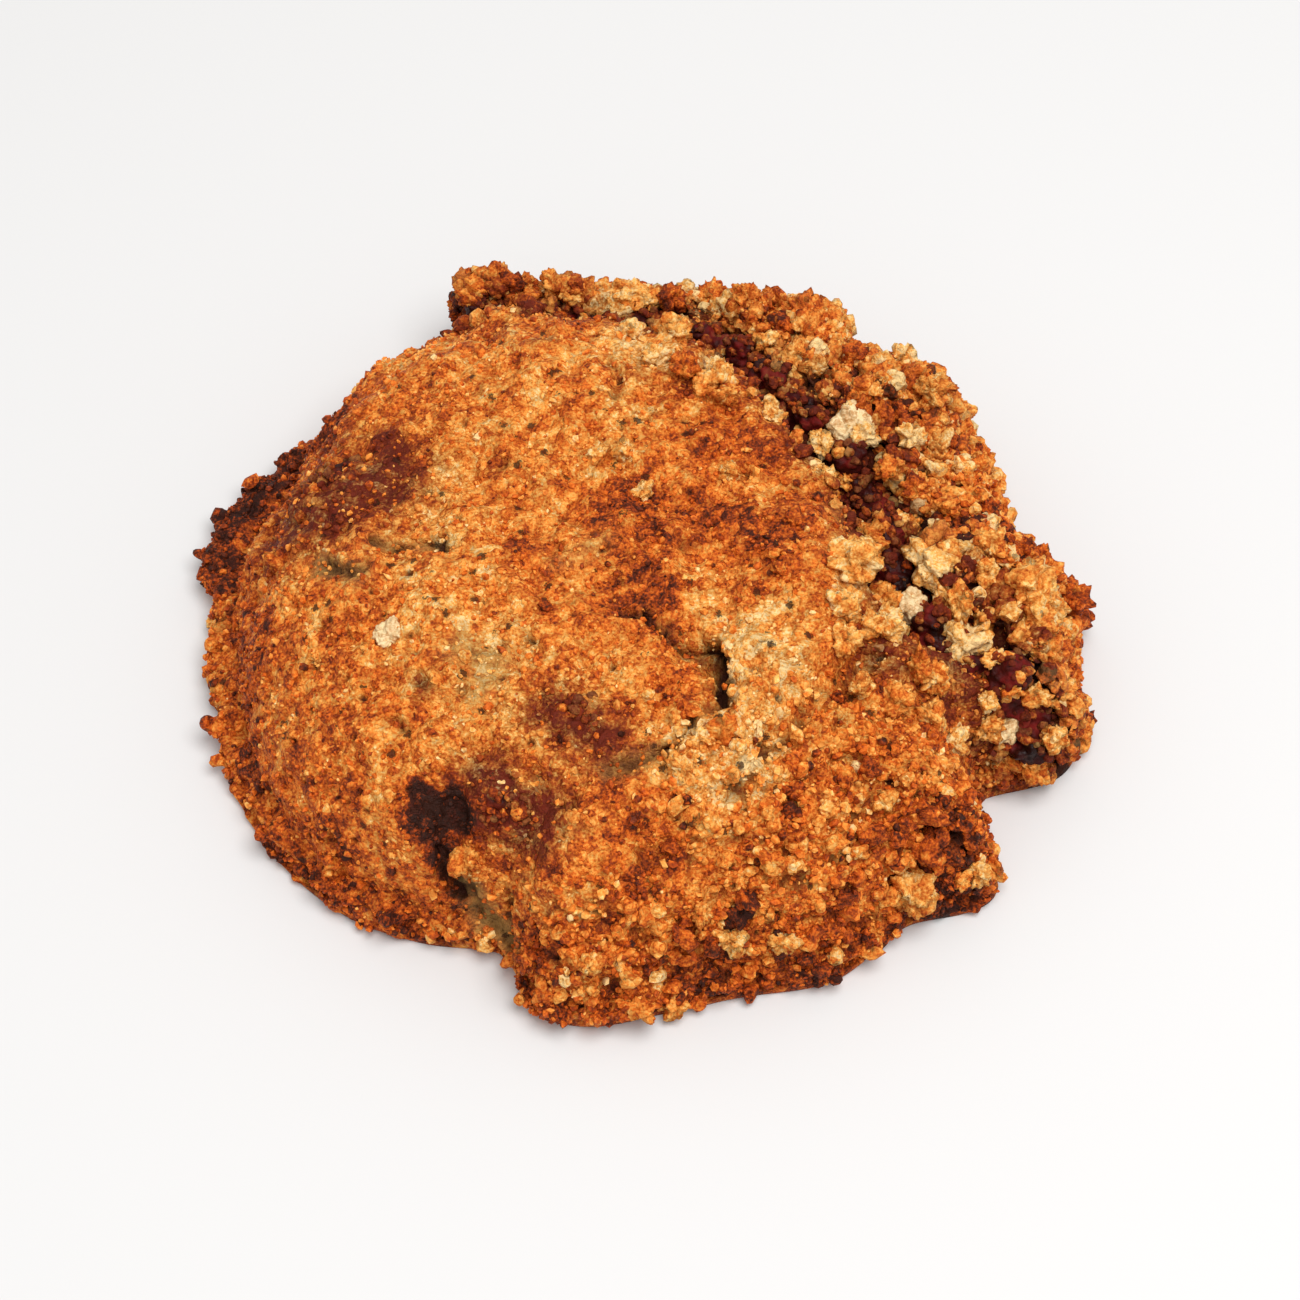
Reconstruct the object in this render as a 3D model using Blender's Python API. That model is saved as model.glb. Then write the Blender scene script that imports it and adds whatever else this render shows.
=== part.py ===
"""A large white chocolate and jam cookie, baked as one thick crumbly mound.

The mound has a flat-topped dome of crust on its left and middle. A seam of jam comes up between the dome
and a broken crumb rim along its back and right side, and shows at both ends of the seam. Three more spots
of jam and four pieces of white chocolate sit in the surface. The cookie rests on its flat underside.
Plan positions are millimetres from the middle of the dome, +X to the right and +Y to the back.
"""

import bisect
import math
import random

import bmesh
import bpy
from mathutils import Matrix, Vector, noise
from mathutils.bvhtree import BVHTree

MM = 0.001
SEED = 20

# Driving dimensions, in millimetres
DOME_MIDDLE = (1.17, -5.65)
CROWN_HEIGHT = 22.0
SHOULDER_POWER = 4.0
WALL_POWER = 2.3
LIP_HEIGHT = 4.5
LIP_TUCK = 0.8
MEAN_RADIUS = 45.0
GAP = 0.35
GRID_CELLS = 48
SECTION_STEPS = 400
CRUMB_SINK = 0.42
SOCKET_MOUTH = 12.0
SLOPE_REACH = 2.5

# The broken outline, as angle in degrees from +X and radius
OUTLINE = (
    (0, 46.4), (9, 47.8), (16, 44.4), (28, 44.4), (40, 48.6), (50, 50.6), (59, 49.4), (67, 51.8),
    (80, 50.4), (90, 49.8), (100, 51.0), (108, 55.0), (114, 56.2), (117, 52.2), (122, 50.0),
    (138, 51.4), (150, 52.6), (161, 52.0), (172, 48.2), (190, 47.1), (206, 45.5), (222, 42.8),
    (233, 39.8), (244, 36.7), (249, 38.2), (252, 41.2), (260, 42.2), (272, 40.2), (284, 39.4),
    (298, 41.0), (312, 40.2), (324, 44.8), (331, 40.8), (338, 38.4), (346, 45.8), (353, 47.2),
)

# How far the thin foot spreads past the dome's wall, as angle and width
FOOT_SPREAD = (
    (0, 1.2), (60, 0.8), (110, 0.6), (130, 0.8), (142, 3.6), (152, 6.2), (160, 5.4), (169, 3.2),
    (182, 2.8), (200, 2.4), (225, 1.8), (250, 1.0), (285, 1.6), (320, 1.4),
)

# The jam seam's middle line and half width, from the back left end to the right side
JAM_SEAM = (
    (-20.8, 44.8, 1.5), (-17.0, 44.2, 1.8), (-9.0, 43.4, 2.0), (-1.0, 42.2, 2.2), (5.0, 39.6, 2.5),
    (9.5, 35.2, 2.8), (13.5, 29.8, 3.0), (17.5, 24.2, 2.9), (21.5, 18.4, 3.0), (24.0, 12.2, 3.2),
    (25.4, 5.6, 2.6), (27.0, -0.4, 2.9), (31.4, -4.6, 3.9), (36.8, -7.6, 3.7), (39.8, -11.2, 2.8),
    (40.4, -13.4, 2.2),
)
JAM_FLOOR = 6.5
JAM_SINK = 1.2
JAM_LEAST_HEIGHT = 3.0
SEAM_POINTS_PER_STRETCH = 3

# Jam spots in the crust: name, plan position, half length, half width, half depth, turn in degrees
SPOT_SINK = 0.6
JAM_SPOTS = (
    ("jam_pocket_left", (-34.6, 15.2), 5.2, 3.6, 2.6, 28),
    ("jam_pocket_front", (-14.4, -25.2), 3.8, 2.9, 2.8, 12),
    ("jam_pocket_middle", (-7.0, -16.6), 3.4, 2.2, 2.2, -20),
)

# White chocolate pieces: name, plan position, length, width, thickness, turn in degrees
CHOCOLATES = (
    ("white_chocolate_left", (-26.8, -6.4), 3.4, 3.0, 2.2, 20),
    ("white_chocolate_back", (21.6, 22.4), 4.6, 3.4, 3.0, 35),
    ("white_chocolate_seam", (27.2, -0.6), 3.4, 2.6, 3.0, 60),
    ("white_chocolate_rim", (37.0, -11.6), 2.4, 2.2, 2.4, 10),
)
CHOCOLATE_PROUD = 0.4

# Ridges and swells of the crust: plan line, height and half width
RIDGES = (
    (((15.0, 6.0), (15.6, -6.0), (11.5, -15.0), (5.5, -23.0)), 2.0, 5.0),
    (((-20.0, 47.5), (-6.0, 46.5), (14.0, 45.0), (21.0, 41.5)), 2.2, 2.6),
    (((29.0, 34.0), (35.0, 22.0), (39.0, 4.0), (44.0, -8.0)), 1.6, 4.0),
    (((31.0, -30.0), (35.0, -25.0)), 1.8, 4.0),
    (((-30.0, 24.0), (-14.0, 30.0), (4.0, 24.0)), 0.7, 9.0),
)

# Cracks, creases and hollows of the crust: plan line, depth and half width
CRACKS = (
    (((1.5, -6.0), (4.6, -8.6), (7.2, -13.2), (6.4, -19.0)), 3.4, 1.5),
    (((6.4, -19.0), (0.5, -22.6), (-5.0, -24.6)), 1.6, 1.3),
    (((22.0, -9.0), (16.5, -14.0), (11.5, -21.0)), 1.3, 2.0),
    (((-19.4, -25.0), (-20.4, -33.0), (-15.0, -39.0)), 3.0, 1.6),
    (((-12.4, -36.0), (-14.6, -43.0)), 2.6, 1.8),
    (((-29.0, 5.6), (-21.0, 5.4)), 1.6, 1.2),
    (((-36.0, 4.0), (-31.0, 3.6)), 1.4, 1.4),
    (((3.2, 5.6), (4.8, 3.6)), 1.5, 1.2),
    (((-38.5, 21.5), (-41.0, 12.0), (-41.5, 4.0)), 1.8, 1.6),
    (((30.0, -26.0), (32.5, -29.0)), 2.4, 1.5),
    (((34.0, -20.5), (38.0, -22.5)), 2.2, 1.6),
    (((-3.0, 33.5), (-2.0, 29.0)), 1.2, 1.2),
)
SEAM_VALLEY = (2.4, 4.6)
CRUST_ROUGHNESS = 0.2
RIM_ROUGHNESS = 1.0
WALL_ROUGHNESS = 0.5

# Crumb lumps fused to the dough: plan position and diameter
DOUGH_CRUMBS = (
    (19.0, 6.0, 4.2), (22.2, 2.6, 4.0), (22.4, -3.4, 3.8), (22.6, -8.6, 3.2), (29.6, 4.6, 5.0),
    (33.4, 2.4, 4.2), (41.6, -1.0, 5.4), (43.2, -4.6, 4.4), (46.0, -0.6, 3.0), (37.0, 8.0, 3.8),
    (16.6, 33.6, 3.6), (13.4, 43.6, 4.4), (6.0, 45.4, 3.0), (3.2, 35.4, 3.4), (7.4, 29.8, 3.2),
    (-1.2, 44.8, 3.4), (-16.4, 48.0, 3.8), (-11.0, 47.0, 3.2), (27.8, 28.8, 3.6), (33.0, 30.4, 3.8),
    (36.2, 17.0, 3.0), (43.0, -7.6, 3.6), (36.0, -17.4, 3.4), (23.8, -31.0, 4.0), (8.0, -37.2, 3.4),
    (-5.6, -40.0, 3.0), (1.0, -39.0, 2.8), (27.6, -14.2, 3.4), (32.6, -18.6, 3.2), (14.6, -36.4, 3.0),
)
SPARE_CRUMBS = 26
SPARE_CRUMB_SIZE = (2.0, 3.2)
SPARE_CRUMB_BAND = (4.2, 9.0)
SPARE_CRUMB_TRIES = 200
SPARE_CRUMB_LEAST_HEIGHT = 6.0
CRUMB_SPACING = 0.6
JAM_CRUMB_TRIES = 60
JAM_CRUMB_SHARE = (0.55, 0.78)

# Finishes: base colour, roughness
DOUGH_FINISH = ((0.47, 0.20, 0.06), 0.75)
JAM_FINISH = ((0.12, 0.012, 0.012), 0.25)
CHOCOLATE_FINISH = ((0.80, 0.62, 0.40), 0.45)


def clear_scene():
    for leftover in list(bpy.data.objects):
        bpy.data.objects.remove(leftover, do_unlink=True)


def new_collection(name):
    collection = bpy.data.collections.new(name)
    bpy.context.scene.collection.children.link(collection)
    return collection


def finish_named(name, finish):
    colour, roughness = finish
    material = bpy.data.materials.new(name)
    material.use_nodes = True
    shader = material.node_tree.nodes["Principled BSDF"]
    shader.inputs["Base Color"].default_value = (*colour, 1.0)
    shader.inputs["Roughness"].default_value = roughness
    shader.inputs["Metallic"].default_value = 0.0
    return material


def object_from(bm, name, collection, material=None):
    """Makes an object of a bmesh whose points are in millimetres from the dome's middle."""
    bmesh.ops.translate(bm, verts=bm.verts, vec=(*DOME_MIDDLE, 0.0))
    bmesh.ops.scale(bm, verts=bm.verts, vec=(MM, MM, MM))
    bmesh.ops.recalc_face_normals(bm, faces=bm.faces)
    mesh = bpy.data.meshes.new(name)
    bm.to_mesh(mesh)
    bm.free()
    mesh.shade_smooth()
    made = bpy.data.objects.new(name, mesh)
    collection.objects.link(made)
    if material:
        mesh.materials.append(material)
    return made


def smooth(share):
    """Eases a share from 0 to 1."""
    share = min(max(share, 0.0), 1.0)
    return share * share * (3 - 2 * share)


def round_curve(points, degrees):
    """A value that passes smoothly through (angle, value) points all the way round."""
    angles = [point[0] for point in points]
    after = bisect.bisect_right(angles, degrees % 360) % len(points)
    before = after - 1
    start, end = points[before], points[after]
    span = (end[0] - start[0]) % 360
    share = ((degrees - start[0]) % 360) / span
    ahead = points[(after + 1) % len(points)]
    behind = points[before - 1]
    rise_in = (end[1] - behind[1]) / ((end[0] - behind[0]) % 360) * span
    rise_out = (ahead[1] - start[1]) / ((ahead[0] - start[0]) % 360) * span
    s2, s3 = share ** 2, share ** 3
    return (
        (2 * s3 - 3 * s2 + 1) * start[1]
        + (s3 - 2 * s2 + share) * rise_in
        + (3 * s2 - 2 * s3) * end[1]
        + (s3 - s2) * rise_out
    )


def off_line(line, x, y):
    """Distance in plan from a point to a line of straight stretches, and how far along the nearest point lies."""
    point = Vector((x, y))
    best = (math.inf, 0.0)
    for step, (start, end) in enumerate(zip(line, line[1:])):
        a, b = Vector(start[:2]), Vector(end[:2])
        share = (point - a).dot(b - a) / (b - a).length_squared
        share = min(max(share, 0.0), 1.0)
        distance = (point - a.lerp(b, share)).length
        best = min(best, (distance, step + share))
    return best


def seam_half_width(along):
    step = min(int(along), len(JAM_SEAM) - 2)
    share = along - step
    return JAM_SEAM[step][2] * (1 - share) + JAM_SEAM[step + 1][2] * share


def outside_seam(x, y):
    """Positive on the crumb rim's side of the seam, negative on the dome's side."""
    angle = math.atan2(y, x)
    radius = math.hypot(x, y)
    nearest = min(JAM_SEAM, key=lambda p: abs(math.atan2(p[1], p[0]) - angle))
    if not -0.5 < angle < 2.1:
        return -1.0
    return radius - math.hypot(nearest[0], nearest[1])


def crust_relief(x, y):
    """Height that ridges, cracks and the seam's valley add to the dome at a plan position."""
    height = 0.0
    for line, rise, width in RIDGES:
        height += rise * math.exp(-((off_line(line, x, y)[0] / width) ** 2))
    for line, depth, width in CRACKS:
        height -= depth * math.exp(-((off_line(line, x, y)[0] / width) ** 2))
    valley_depth, valley_width = SEAM_VALLEY
    height -= valley_depth * math.exp(-((off_line(JAM_SEAM, x, y)[0] / valley_width) ** 2))
    return height


def crags(point, rough):
    """Uneven crumb relief: broad swells, then lumps a few millimetres across."""
    swell = noise.noise(point * 0.055)
    lump = noise.noise(point * 0.21 + Vector((7.0, 3.0, 1.0)))
    crag = noise.noise(point * 0.42 + Vector((2.0, 9.0, 4.0)))
    return 1.0 * swell + (0.8 + rough) * lump + (0.6 + 1.2 * rough) * crag


def half_section():
    """The dome's half section, from the crown to the floor, as evenly spaced (radius share, height share)."""
    turns = [math.radians(90 * (1 - i / SECTION_STEPS)) for i in range(SECTION_STEPS + 1)]
    curve = [
        (max(math.cos(turn), 0.0) ** (2 / SHOULDER_POWER), math.sin(turn) ** (2 / WALL_POWER))
        for turn in turns
    ]
    curve[0] = (0.0, 1.0)
    lengths = [0.0]
    for start, end in zip(curve, curve[1:]):
        step = math.hypot((end[0] - start[0]) * MEAN_RADIUS, (end[1] - start[1]) * CROWN_HEIGHT)
        lengths.append(lengths[-1] + step)
    return curve, lengths


def on_section(section, share):
    """The (radius share, height share) at a share of the half section's length."""
    curve, lengths = section
    wanted = share * lengths[-1]
    after = min(max(bisect.bisect_left(lengths, wanted), 1), len(curve) - 1)
    before = after - 1
    part = (wanted - lengths[before]) / (lengths[after] - lengths[before])
    start, end = curve[before], curve[after]
    return start[0] + part * (end[0] - start[0]), start[1] + part * (end[1] - start[1])


def disc_of_square(u, v):
    """Bends a point of the square grid into a disc: its angle in radians and its ring from 0 to 1."""
    ring = max(abs(u), abs(v))
    if ring < 1e-6:
        return 0.0, 0.0
    if abs(u) >= abs(v):
        angle = math.pi / 4 * v / u + (math.pi if u < 0 else 0.0)
    else:
        angle = math.pi / 2 - math.pi / 4 * u / v + (math.pi if v < 0 else 0.0)
    return angle, ring


def dough_point(section, angle, ring):
    """Where the dough's skin passes, from the crown at ring 0 to the edge of the flat base at ring 1."""
    radius_share, height_share = on_section(section, ring)
    degrees = math.degrees(angle)
    spread = round_curve(FOOT_SPREAD, degrees)
    outer = round_curve(OUTLINE, degrees)
    height = CROWN_HEIGHT * height_share
    foot = smooth((LIP_HEIGHT + 1.0 - height) / 2.0)
    tuck = LIP_TUCK * smooth((1.0 - height) / 1.0)
    radius = radius_share * (outer - spread) + foot * spread - tuck
    x, y = radius * math.cos(angle), radius * math.sin(angle)
    rough = RIM_ROUGHNESS if outside_seam(x, y) > 0 else CRUST_ROUGHNESS
    on_top = smooth(height_share / 0.55)
    bump = crags(Vector((x, y, height)), rough + WALL_ROUGHNESS * (1 - on_top))
    free_of_floor = smooth((height - 0.3) / 2.5)
    height += on_top * crust_relief(x, y) + free_of_floor * bump * (0.35 + 0.65 * on_top)
    outward = free_of_floor * bump * (1 - on_top) * 0.9
    x += outward * math.cos(angle)
    y += outward * math.sin(angle)
    return Vector((x, y, max(height, 0.0)))


def make_dough():
    """The dough's whole outer form, as a bmesh with a flat base."""
    section = half_section()
    bm = bmesh.new()
    bmesh.ops.create_grid(bm, x_segments=GRID_CELLS, y_segments=GRID_CELLS, size=1.0)
    for vert in bm.verts:
        angle, ring = disc_of_square(vert.co.x, vert.co.y)
        vert.co = dough_point(section, angle, ring)
        if ring > 1 - 1e-4:
            vert.co.z = 0.0
    edge = [e for e in bm.edges if e.is_boundary]
    bmesh.ops.contextual_create(bm, geom=edge)
    bmesh.ops.triangulate(bm, faces=bm.faces)
    return bm


def top_finder(bm):
    """A function that gives the height of a bmesh's upper skin at a plan position, or 0 beside it."""
    tree = BVHTree.FromBMesh(bm)

    def height_at(x, y):
        hit = tree.ray_cast(Vector((x, y, 60.0)), Vector((0.0, 0.0, -1.0)))[0]
        return hit.z if hit else 0.0

    return height_at


def seated(height_at, x, y, depth):
    """The place and tilt of a piece let into the upper skin: its middle lies this deep along the slope's normal."""
    reach = SLOPE_REACH
    slope_x = (height_at(x + reach, y) - height_at(x - reach, y)) / (2 * reach)
    slope_y = (height_at(x, y + reach) - height_at(x, y - reach)) / (2 * reach)
    upward = Vector((-slope_x, -slope_y, 1.0)).normalized()
    middle = Vector((x, y, height_at(x, y))) - upward * depth
    tilt = Vector((0.0, 0.0, 1.0)).rotation_difference(upward)
    return Matrix.Translation(middle) @ tilt.to_matrix().to_4x4()


def lump(centre, size, seed_shift):
    """A knobbly crumb of twenty faces."""
    bm = bmesh.new()
    bmesh.ops.create_icosphere(bm, subdivisions=1, radius=size / 2)
    for vert in bm.verts:
        push = noise.noise(vert.co * 1.1 + Vector((seed_shift, 2.0 * seed_shift, 5.0)))
        vert.co *= 1.0 + 0.28 * push
        vert.co.z *= 0.85
    bmesh.ops.translate(bm, verts=bm.verts, vec=centre)
    return bm


def drop_scraps(mesh):
    """Keeps a mesh's largest joined piece and removes the loose ones."""
    bm = bmesh.new()
    bm.from_mesh(mesh)
    unseen = set(bm.verts)
    pieces = []
    while unseen:
        piece = {unseen.pop()}
        front = list(piece)
        while front:
            vert = front.pop()
            fresh = {edge.other_vert(vert) for edge in vert.link_edges} - piece
            piece |= fresh
            front.extend(fresh)
        unseen -= piece
        pieces.append(piece)
    largest = max(pieces, key=len)
    bmesh.ops.delete(bm, geom=[vert for vert in bm.verts if vert not in largest], context="VERTS")
    bm.to_mesh(mesh)
    bm.free()


def apply_boolean(base, others, operation, solver):
    """Joins or cuts an object with a whole collection, and applies the result."""
    boolean = base.modifiers.new(operation.lower(), "BOOLEAN")
    boolean.operation = operation
    boolean.operand_type = "COLLECTION"
    boolean.collection = others
    boolean.solver = solver
    bpy.context.view_layer.update()
    evaluated = base.evaluated_get(bpy.context.evaluated_depsgraph_get())
    result = bpy.data.meshes.new_from_object(evaluated)
    base.modifiers.clear()
    base.data = result
    drop_scraps(result)


def fuse(base, lumps):
    """Joins a collection of lumps to an object by one Boolean union, then removes the collection."""
    apply_boolean(base, lumps, "UNION", "MANIFOLD")
    for made in list(lumps.objects):
        bpy.data.objects.remove(made, do_unlink=True)
    bpy.data.collections.remove(lumps)


def seam_tube(name, collection, height_at, grow, raised):
    """The jam seam as a tall band, or its channel where grow and raised widen and heighten it."""
    curve = bpy.data.curves.new(name, "CURVE")
    curve.dimensions = "3D"
    curve.bevel_depth = 1.0
    curve.bevel_resolution = 3
    curve.use_fill_caps = True
    stretches = len(JAM_SEAM) - 1
    per_stretch = SEAM_POINTS_PER_STRETCH
    spline = curve.splines.new("POLY")
    spline.points.add(stretches * per_stretch)
    for i, point in enumerate(spline.points):
        along = i / per_stretch
        step = min(int(along), stretches - 1)
        share = along - step
        behind = Vector(JAM_SEAM[max(step - 1, 0)])
        start, end = Vector(JAM_SEAM[step]), Vector(JAM_SEAM[step + 1])
        ahead = Vector(JAM_SEAM[min(step + 2, stretches)])
        blend = (
            start * (2 - 5 * share ** 2 + 3 * share ** 3)
            + end * (share + 4 * share ** 2 - 3 * share ** 3)
            + behind * (-share + 2 * share ** 2 - share ** 3)
            + ahead * (share ** 3 - share ** 2)
        ) / 2
        point.co = (blend.x, blend.y, 0.0, 1.0)
        uneven = 1.0 + 0.45 * noise.noise(Vector((blend.x, blend.y, 0.0)) * 0.35)
        point.radius = blend.z * uneven + grow
    holder = bpy.data.objects.new(name + "_line", curve)
    collection.objects.link(holder)
    bpy.context.view_layer.update()
    mesh = bpy.data.meshes.new_from_object(holder.evaluated_get(bpy.context.evaluated_depsgraph_get()))
    centre_line = [(p.co.x, p.co.y, p.radius) for p in spline.points]
    bpy.data.objects.remove(holder, do_unlink=True)
    bm = bmesh.new()
    bm.from_mesh(mesh)
    bpy.data.meshes.remove(mesh)
    bmesh.ops.remove_doubles(bm, verts=bm.verts, dist=0.01)
    for vert in bm.verts:
        distance, along = off_line(centre_line, vert.co.x, vert.co.y)
        step = min(int(along), len(centre_line) - 2)
        reach = centre_line[step][2] + (along - step) * (centre_line[step + 1][2] - centre_line[step][2])
        middle_x, middle_y, _ = centre_line[min(int(along + 0.5), len(centre_line) - 1)]
        share = max(-1.0, min(1.0, vert.co.z / reach))
        top = max(height_at(middle_x, middle_y) - JAM_SINK, JAM_FLOOR + JAM_LEAST_HEIGHT)
        half = (top - JAM_FLOOR) / 2
        ripple = 1.6 * noise.noise(vert.co * 0.4) if share > 0.3 and not raised else 0.0
        reach_up = half + grow + raised if share > 0 else half + grow
        vert.co.z = JAM_FLOOR + half + reach_up * share + ripple
    bmesh.ops.triangulate(bm, faces=bm.faces)
    return bm


def spot_shape(spot, height_at, grow, raised):
    """A flattened blob of jam let into the crust, or its socket where grow and raised enlarge it."""
    _, (x, y), length, width, depth, turn = spot
    bm = bmesh.new()
    bmesh.ops.create_icosphere(bm, subdivisions=2, radius=1.0)
    for vert in bm.verts:
        wobble = 1.0 + 0.18 * noise.noise(vert.co * 1.6 + Vector((x, y, 0.0)))
        unit = vert.co.copy()
        vert.co = Vector((unit.x * length, unit.y * width, unit.z * depth)) * wobble
        vert.co += unit * grow
        if raised and unit.z > 0:
            vert.co.z += raised * smooth(unit.z / 0.3)
    turned = Matrix.Rotation(math.radians(turn), 4, "Z")
    bmesh.ops.transform(bm, verts=bm.verts, matrix=seated(height_at, x, y, depth * SPOT_SINK) @ turned)
    return bm


def chocolate_shape(piece, height_at, grow, raised):
    """A white chocolate chunk with softened edges, or its socket where grow and raised enlarge it."""
    _, (x, y), length, width, thick, turn = piece
    bm = bmesh.new()
    bmesh.ops.create_cube(bm, size=1.0)
    bmesh.ops.bevel(bm, geom=bm.edges[:], offset=0.18, segments=2, profile=0.5, affect="EDGES", material=-1)
    for vert in bm.verts:
        unit = vert.co * 2
        vert.co = Vector((unit.x * (length / 2 + grow), unit.y * (width / 2 + grow), unit.z * (thick / 2 + grow)))
        vert.co.x *= 1.0 - 0.12 * unit.z
        vert.co.y *= 1.0 + 0.10 * unit.x
        if raised and unit.z > 0:
            vert.co.z += raised
    turned = Matrix.Rotation(math.radians(turn), 4, "Z")
    place = seated(height_at, x, y, thick / 2 - CHOCOLATE_PROUD)
    bmesh.ops.transform(bm, verts=bm.verts, matrix=place @ turned)
    bmesh.ops.triangulate(bm, faces=bm.faces)
    return bm


def crumb_places(rng, height_at):
    """The fused crumbs of the dough: the large ones by hand, then spare ones strewn along the seam."""
    places = list(DOUGH_CRUMBS)
    low, high = SPARE_CRUMB_BAND
    for _ in range(SPARE_CRUMBS):
        for _ in range(SPARE_CRUMB_TRIES):
            step = rng.uniform(2.0, len(JAM_SEAM) - 1.5)
            at = Vector(JAM_SEAM[int(step)][:2]).lerp(Vector(JAM_SEAM[int(step) + 1][:2]), step % 1)
            size = rng.uniform(*SPARE_CRUMB_SIZE)
            spot = at + Vector((rng.uniform(-high, high), rng.uniform(-high, high)))
            away = off_line(JAM_SEAM, spot.x, spot.y)[0]
            crowded = any(math.hypot(spot.x - p[0], spot.y - p[1]) < (size + p[2]) * CRUMB_SPACING for p in places)
            if low < away < high and not crowded and height_at(spot.x, spot.y) > SPARE_CRUMB_LEAST_HEIGHT:
                places.append((spot.x, spot.y, size))
                break
    clear_of = [(spot[1], spot[2]) for spot in JAM_SPOTS] + [(piece[1], piece[2] * 0.6) for piece in CHOCOLATES]
    return [
        (x, y, size)
        for x, y, size in places
        if all(math.hypot(x - c[0], y - c[1]) > reach + size * 0.5 for c, reach in clear_of)
    ]


def strew_lumps(places, height_at, name):
    """A collection of crumb lumps, each pressed into the skin beneath it."""
    lumps = new_collection(name)
    for i, (x, y, size) in enumerate(places):
        resting = height_at(x, y) + size * (0.5 - CRUMB_SINK)
        centre = Vector((x, y, max(resting, size * 0.6)))
        object_from(lump(centre, size, 1.7 * i), f"{name}_{i}", lumps)
    return lumps


def jam_crumb_places(rng):
    """Crumbs that lie on the jam alone, inside the seam's width."""
    places = []
    for _ in range(JAM_CRUMB_TRIES):
        along = rng.uniform(3.0, len(JAM_SEAM) - 2.2)
        step = int(along)
        at = Vector(JAM_SEAM[step][:2]).lerp(Vector(JAM_SEAM[step + 1][:2]), along - step)
        size = 2 * seam_half_width(along) * rng.uniform(*JAM_CRUMB_SHARE)
        if all(math.hypot(at.x - p[0], at.y - p[1]) > (size + p[2]) * CRUMB_SPACING for p in places):
            places.append((at.x, at.y, size))
    return places


def main():
    clear_scene()
    parts = new_collection("white_chocolate_and_jam_cookie")
    jam_cutters = new_collection("jam_cutters")
    chocolate_cutters = new_collection("chocolate_cutters")
    dough = finish_named("dough", DOUGH_FINISH)
    jam = finish_named("jam", JAM_FINISH)
    chocolate = finish_named("white_chocolate", CHOCOLATE_FINISH)
    rng = random.Random(SEED)

    form = make_dough()
    height_at = top_finder(form)
    crumb_spots = crumb_places(rng, height_at)
    cookie = object_from(form, "cookie", parts, dough)
    fuse(cookie, strew_lumps(crumb_spots, height_at, "dough_crumbs"))

    seam_form = seam_tube("jam_seam", parts, height_at, 0.0, 0.0)
    seam_top = top_finder(seam_form)
    seam = object_from(seam_form, "jam_seam", parts, jam)
    fuse(seam, strew_lumps(jam_crumb_places(rng), seam_top, "jam_crumbs"))
    channel = seam_tube("jam_seam_channel", jam_cutters, height_at, GAP, SOCKET_MOUTH)
    object_from(channel, "jam_seam_channel", jam_cutters)
    for spot in JAM_SPOTS:
        object_from(spot_shape(spot, height_at, 0.0, 0.0), spot[0], parts, jam)
        object_from(spot_shape(spot, height_at, GAP, SOCKET_MOUTH), spot[0] + "_socket", jam_cutters)
    for piece in CHOCOLATES:
        name = piece[0] + "_socket"
        object_from(chocolate_shape(piece, height_at, 0.0, 0.0), piece[0], parts, chocolate)
        object_from(chocolate_shape(piece, height_at, GAP, SOCKET_MOUTH), name, chocolate_cutters)

    for cutter in [*jam_cutters.objects, *chocolate_cutters.objects]:
        cutter.hide_render = True
        cutter.display_type = "WIRE"
    apply_boolean(cookie, jam_cutters, "DIFFERENCE", "EXACT")
    apply_boolean(cookie, chocolate_cutters, "DIFFERENCE", "EXACT")
    apply_boolean(seam, chocolate_cutters, "DIFFERENCE", "EXACT")


main()
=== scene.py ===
# %% [markdown]
# # A white chocolate and jam cookie
# The cookie is one thick mound of crumbly dough. A seam of jam breaks out between its domed crust and a
# ragged rim, more jam shows in three spots, and a few pieces of white chocolate sit in the crust.
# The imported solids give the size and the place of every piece. This lesson builds the looks round them:
# a fine crust, sticky jam, white chocolate, and thousands of loose crumbs and grains.

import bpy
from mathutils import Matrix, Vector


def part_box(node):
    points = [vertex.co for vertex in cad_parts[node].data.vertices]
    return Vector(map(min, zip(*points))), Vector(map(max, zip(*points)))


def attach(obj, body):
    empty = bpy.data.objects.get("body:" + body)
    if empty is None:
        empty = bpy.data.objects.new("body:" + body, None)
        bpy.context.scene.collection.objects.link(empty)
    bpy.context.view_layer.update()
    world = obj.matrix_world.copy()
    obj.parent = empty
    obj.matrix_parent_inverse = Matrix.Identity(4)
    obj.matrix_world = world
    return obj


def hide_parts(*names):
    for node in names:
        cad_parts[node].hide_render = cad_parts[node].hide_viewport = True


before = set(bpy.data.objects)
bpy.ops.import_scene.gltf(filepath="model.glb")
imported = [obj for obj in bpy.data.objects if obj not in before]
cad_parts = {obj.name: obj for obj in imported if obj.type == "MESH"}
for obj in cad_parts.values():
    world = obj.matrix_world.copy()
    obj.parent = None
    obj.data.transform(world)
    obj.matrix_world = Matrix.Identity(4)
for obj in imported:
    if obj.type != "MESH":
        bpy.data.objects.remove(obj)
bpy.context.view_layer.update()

# %% Modules
import math

import bmesh
import bpy
import numpy as np
from mathutils import Matrix, Vector, noise
from mathutils.bvhtree import BVHTree

MM = 0.001
rng = np.random.default_rng(31)


def linked(name, data):
    """A new object in the scene that shows the data."""
    made = bpy.data.objects.new(name, data)
    bpy.context.scene.collection.objects.link(made)
    return made


print("sizes are in millimetres until a mesh is scaled by", MM)

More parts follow.
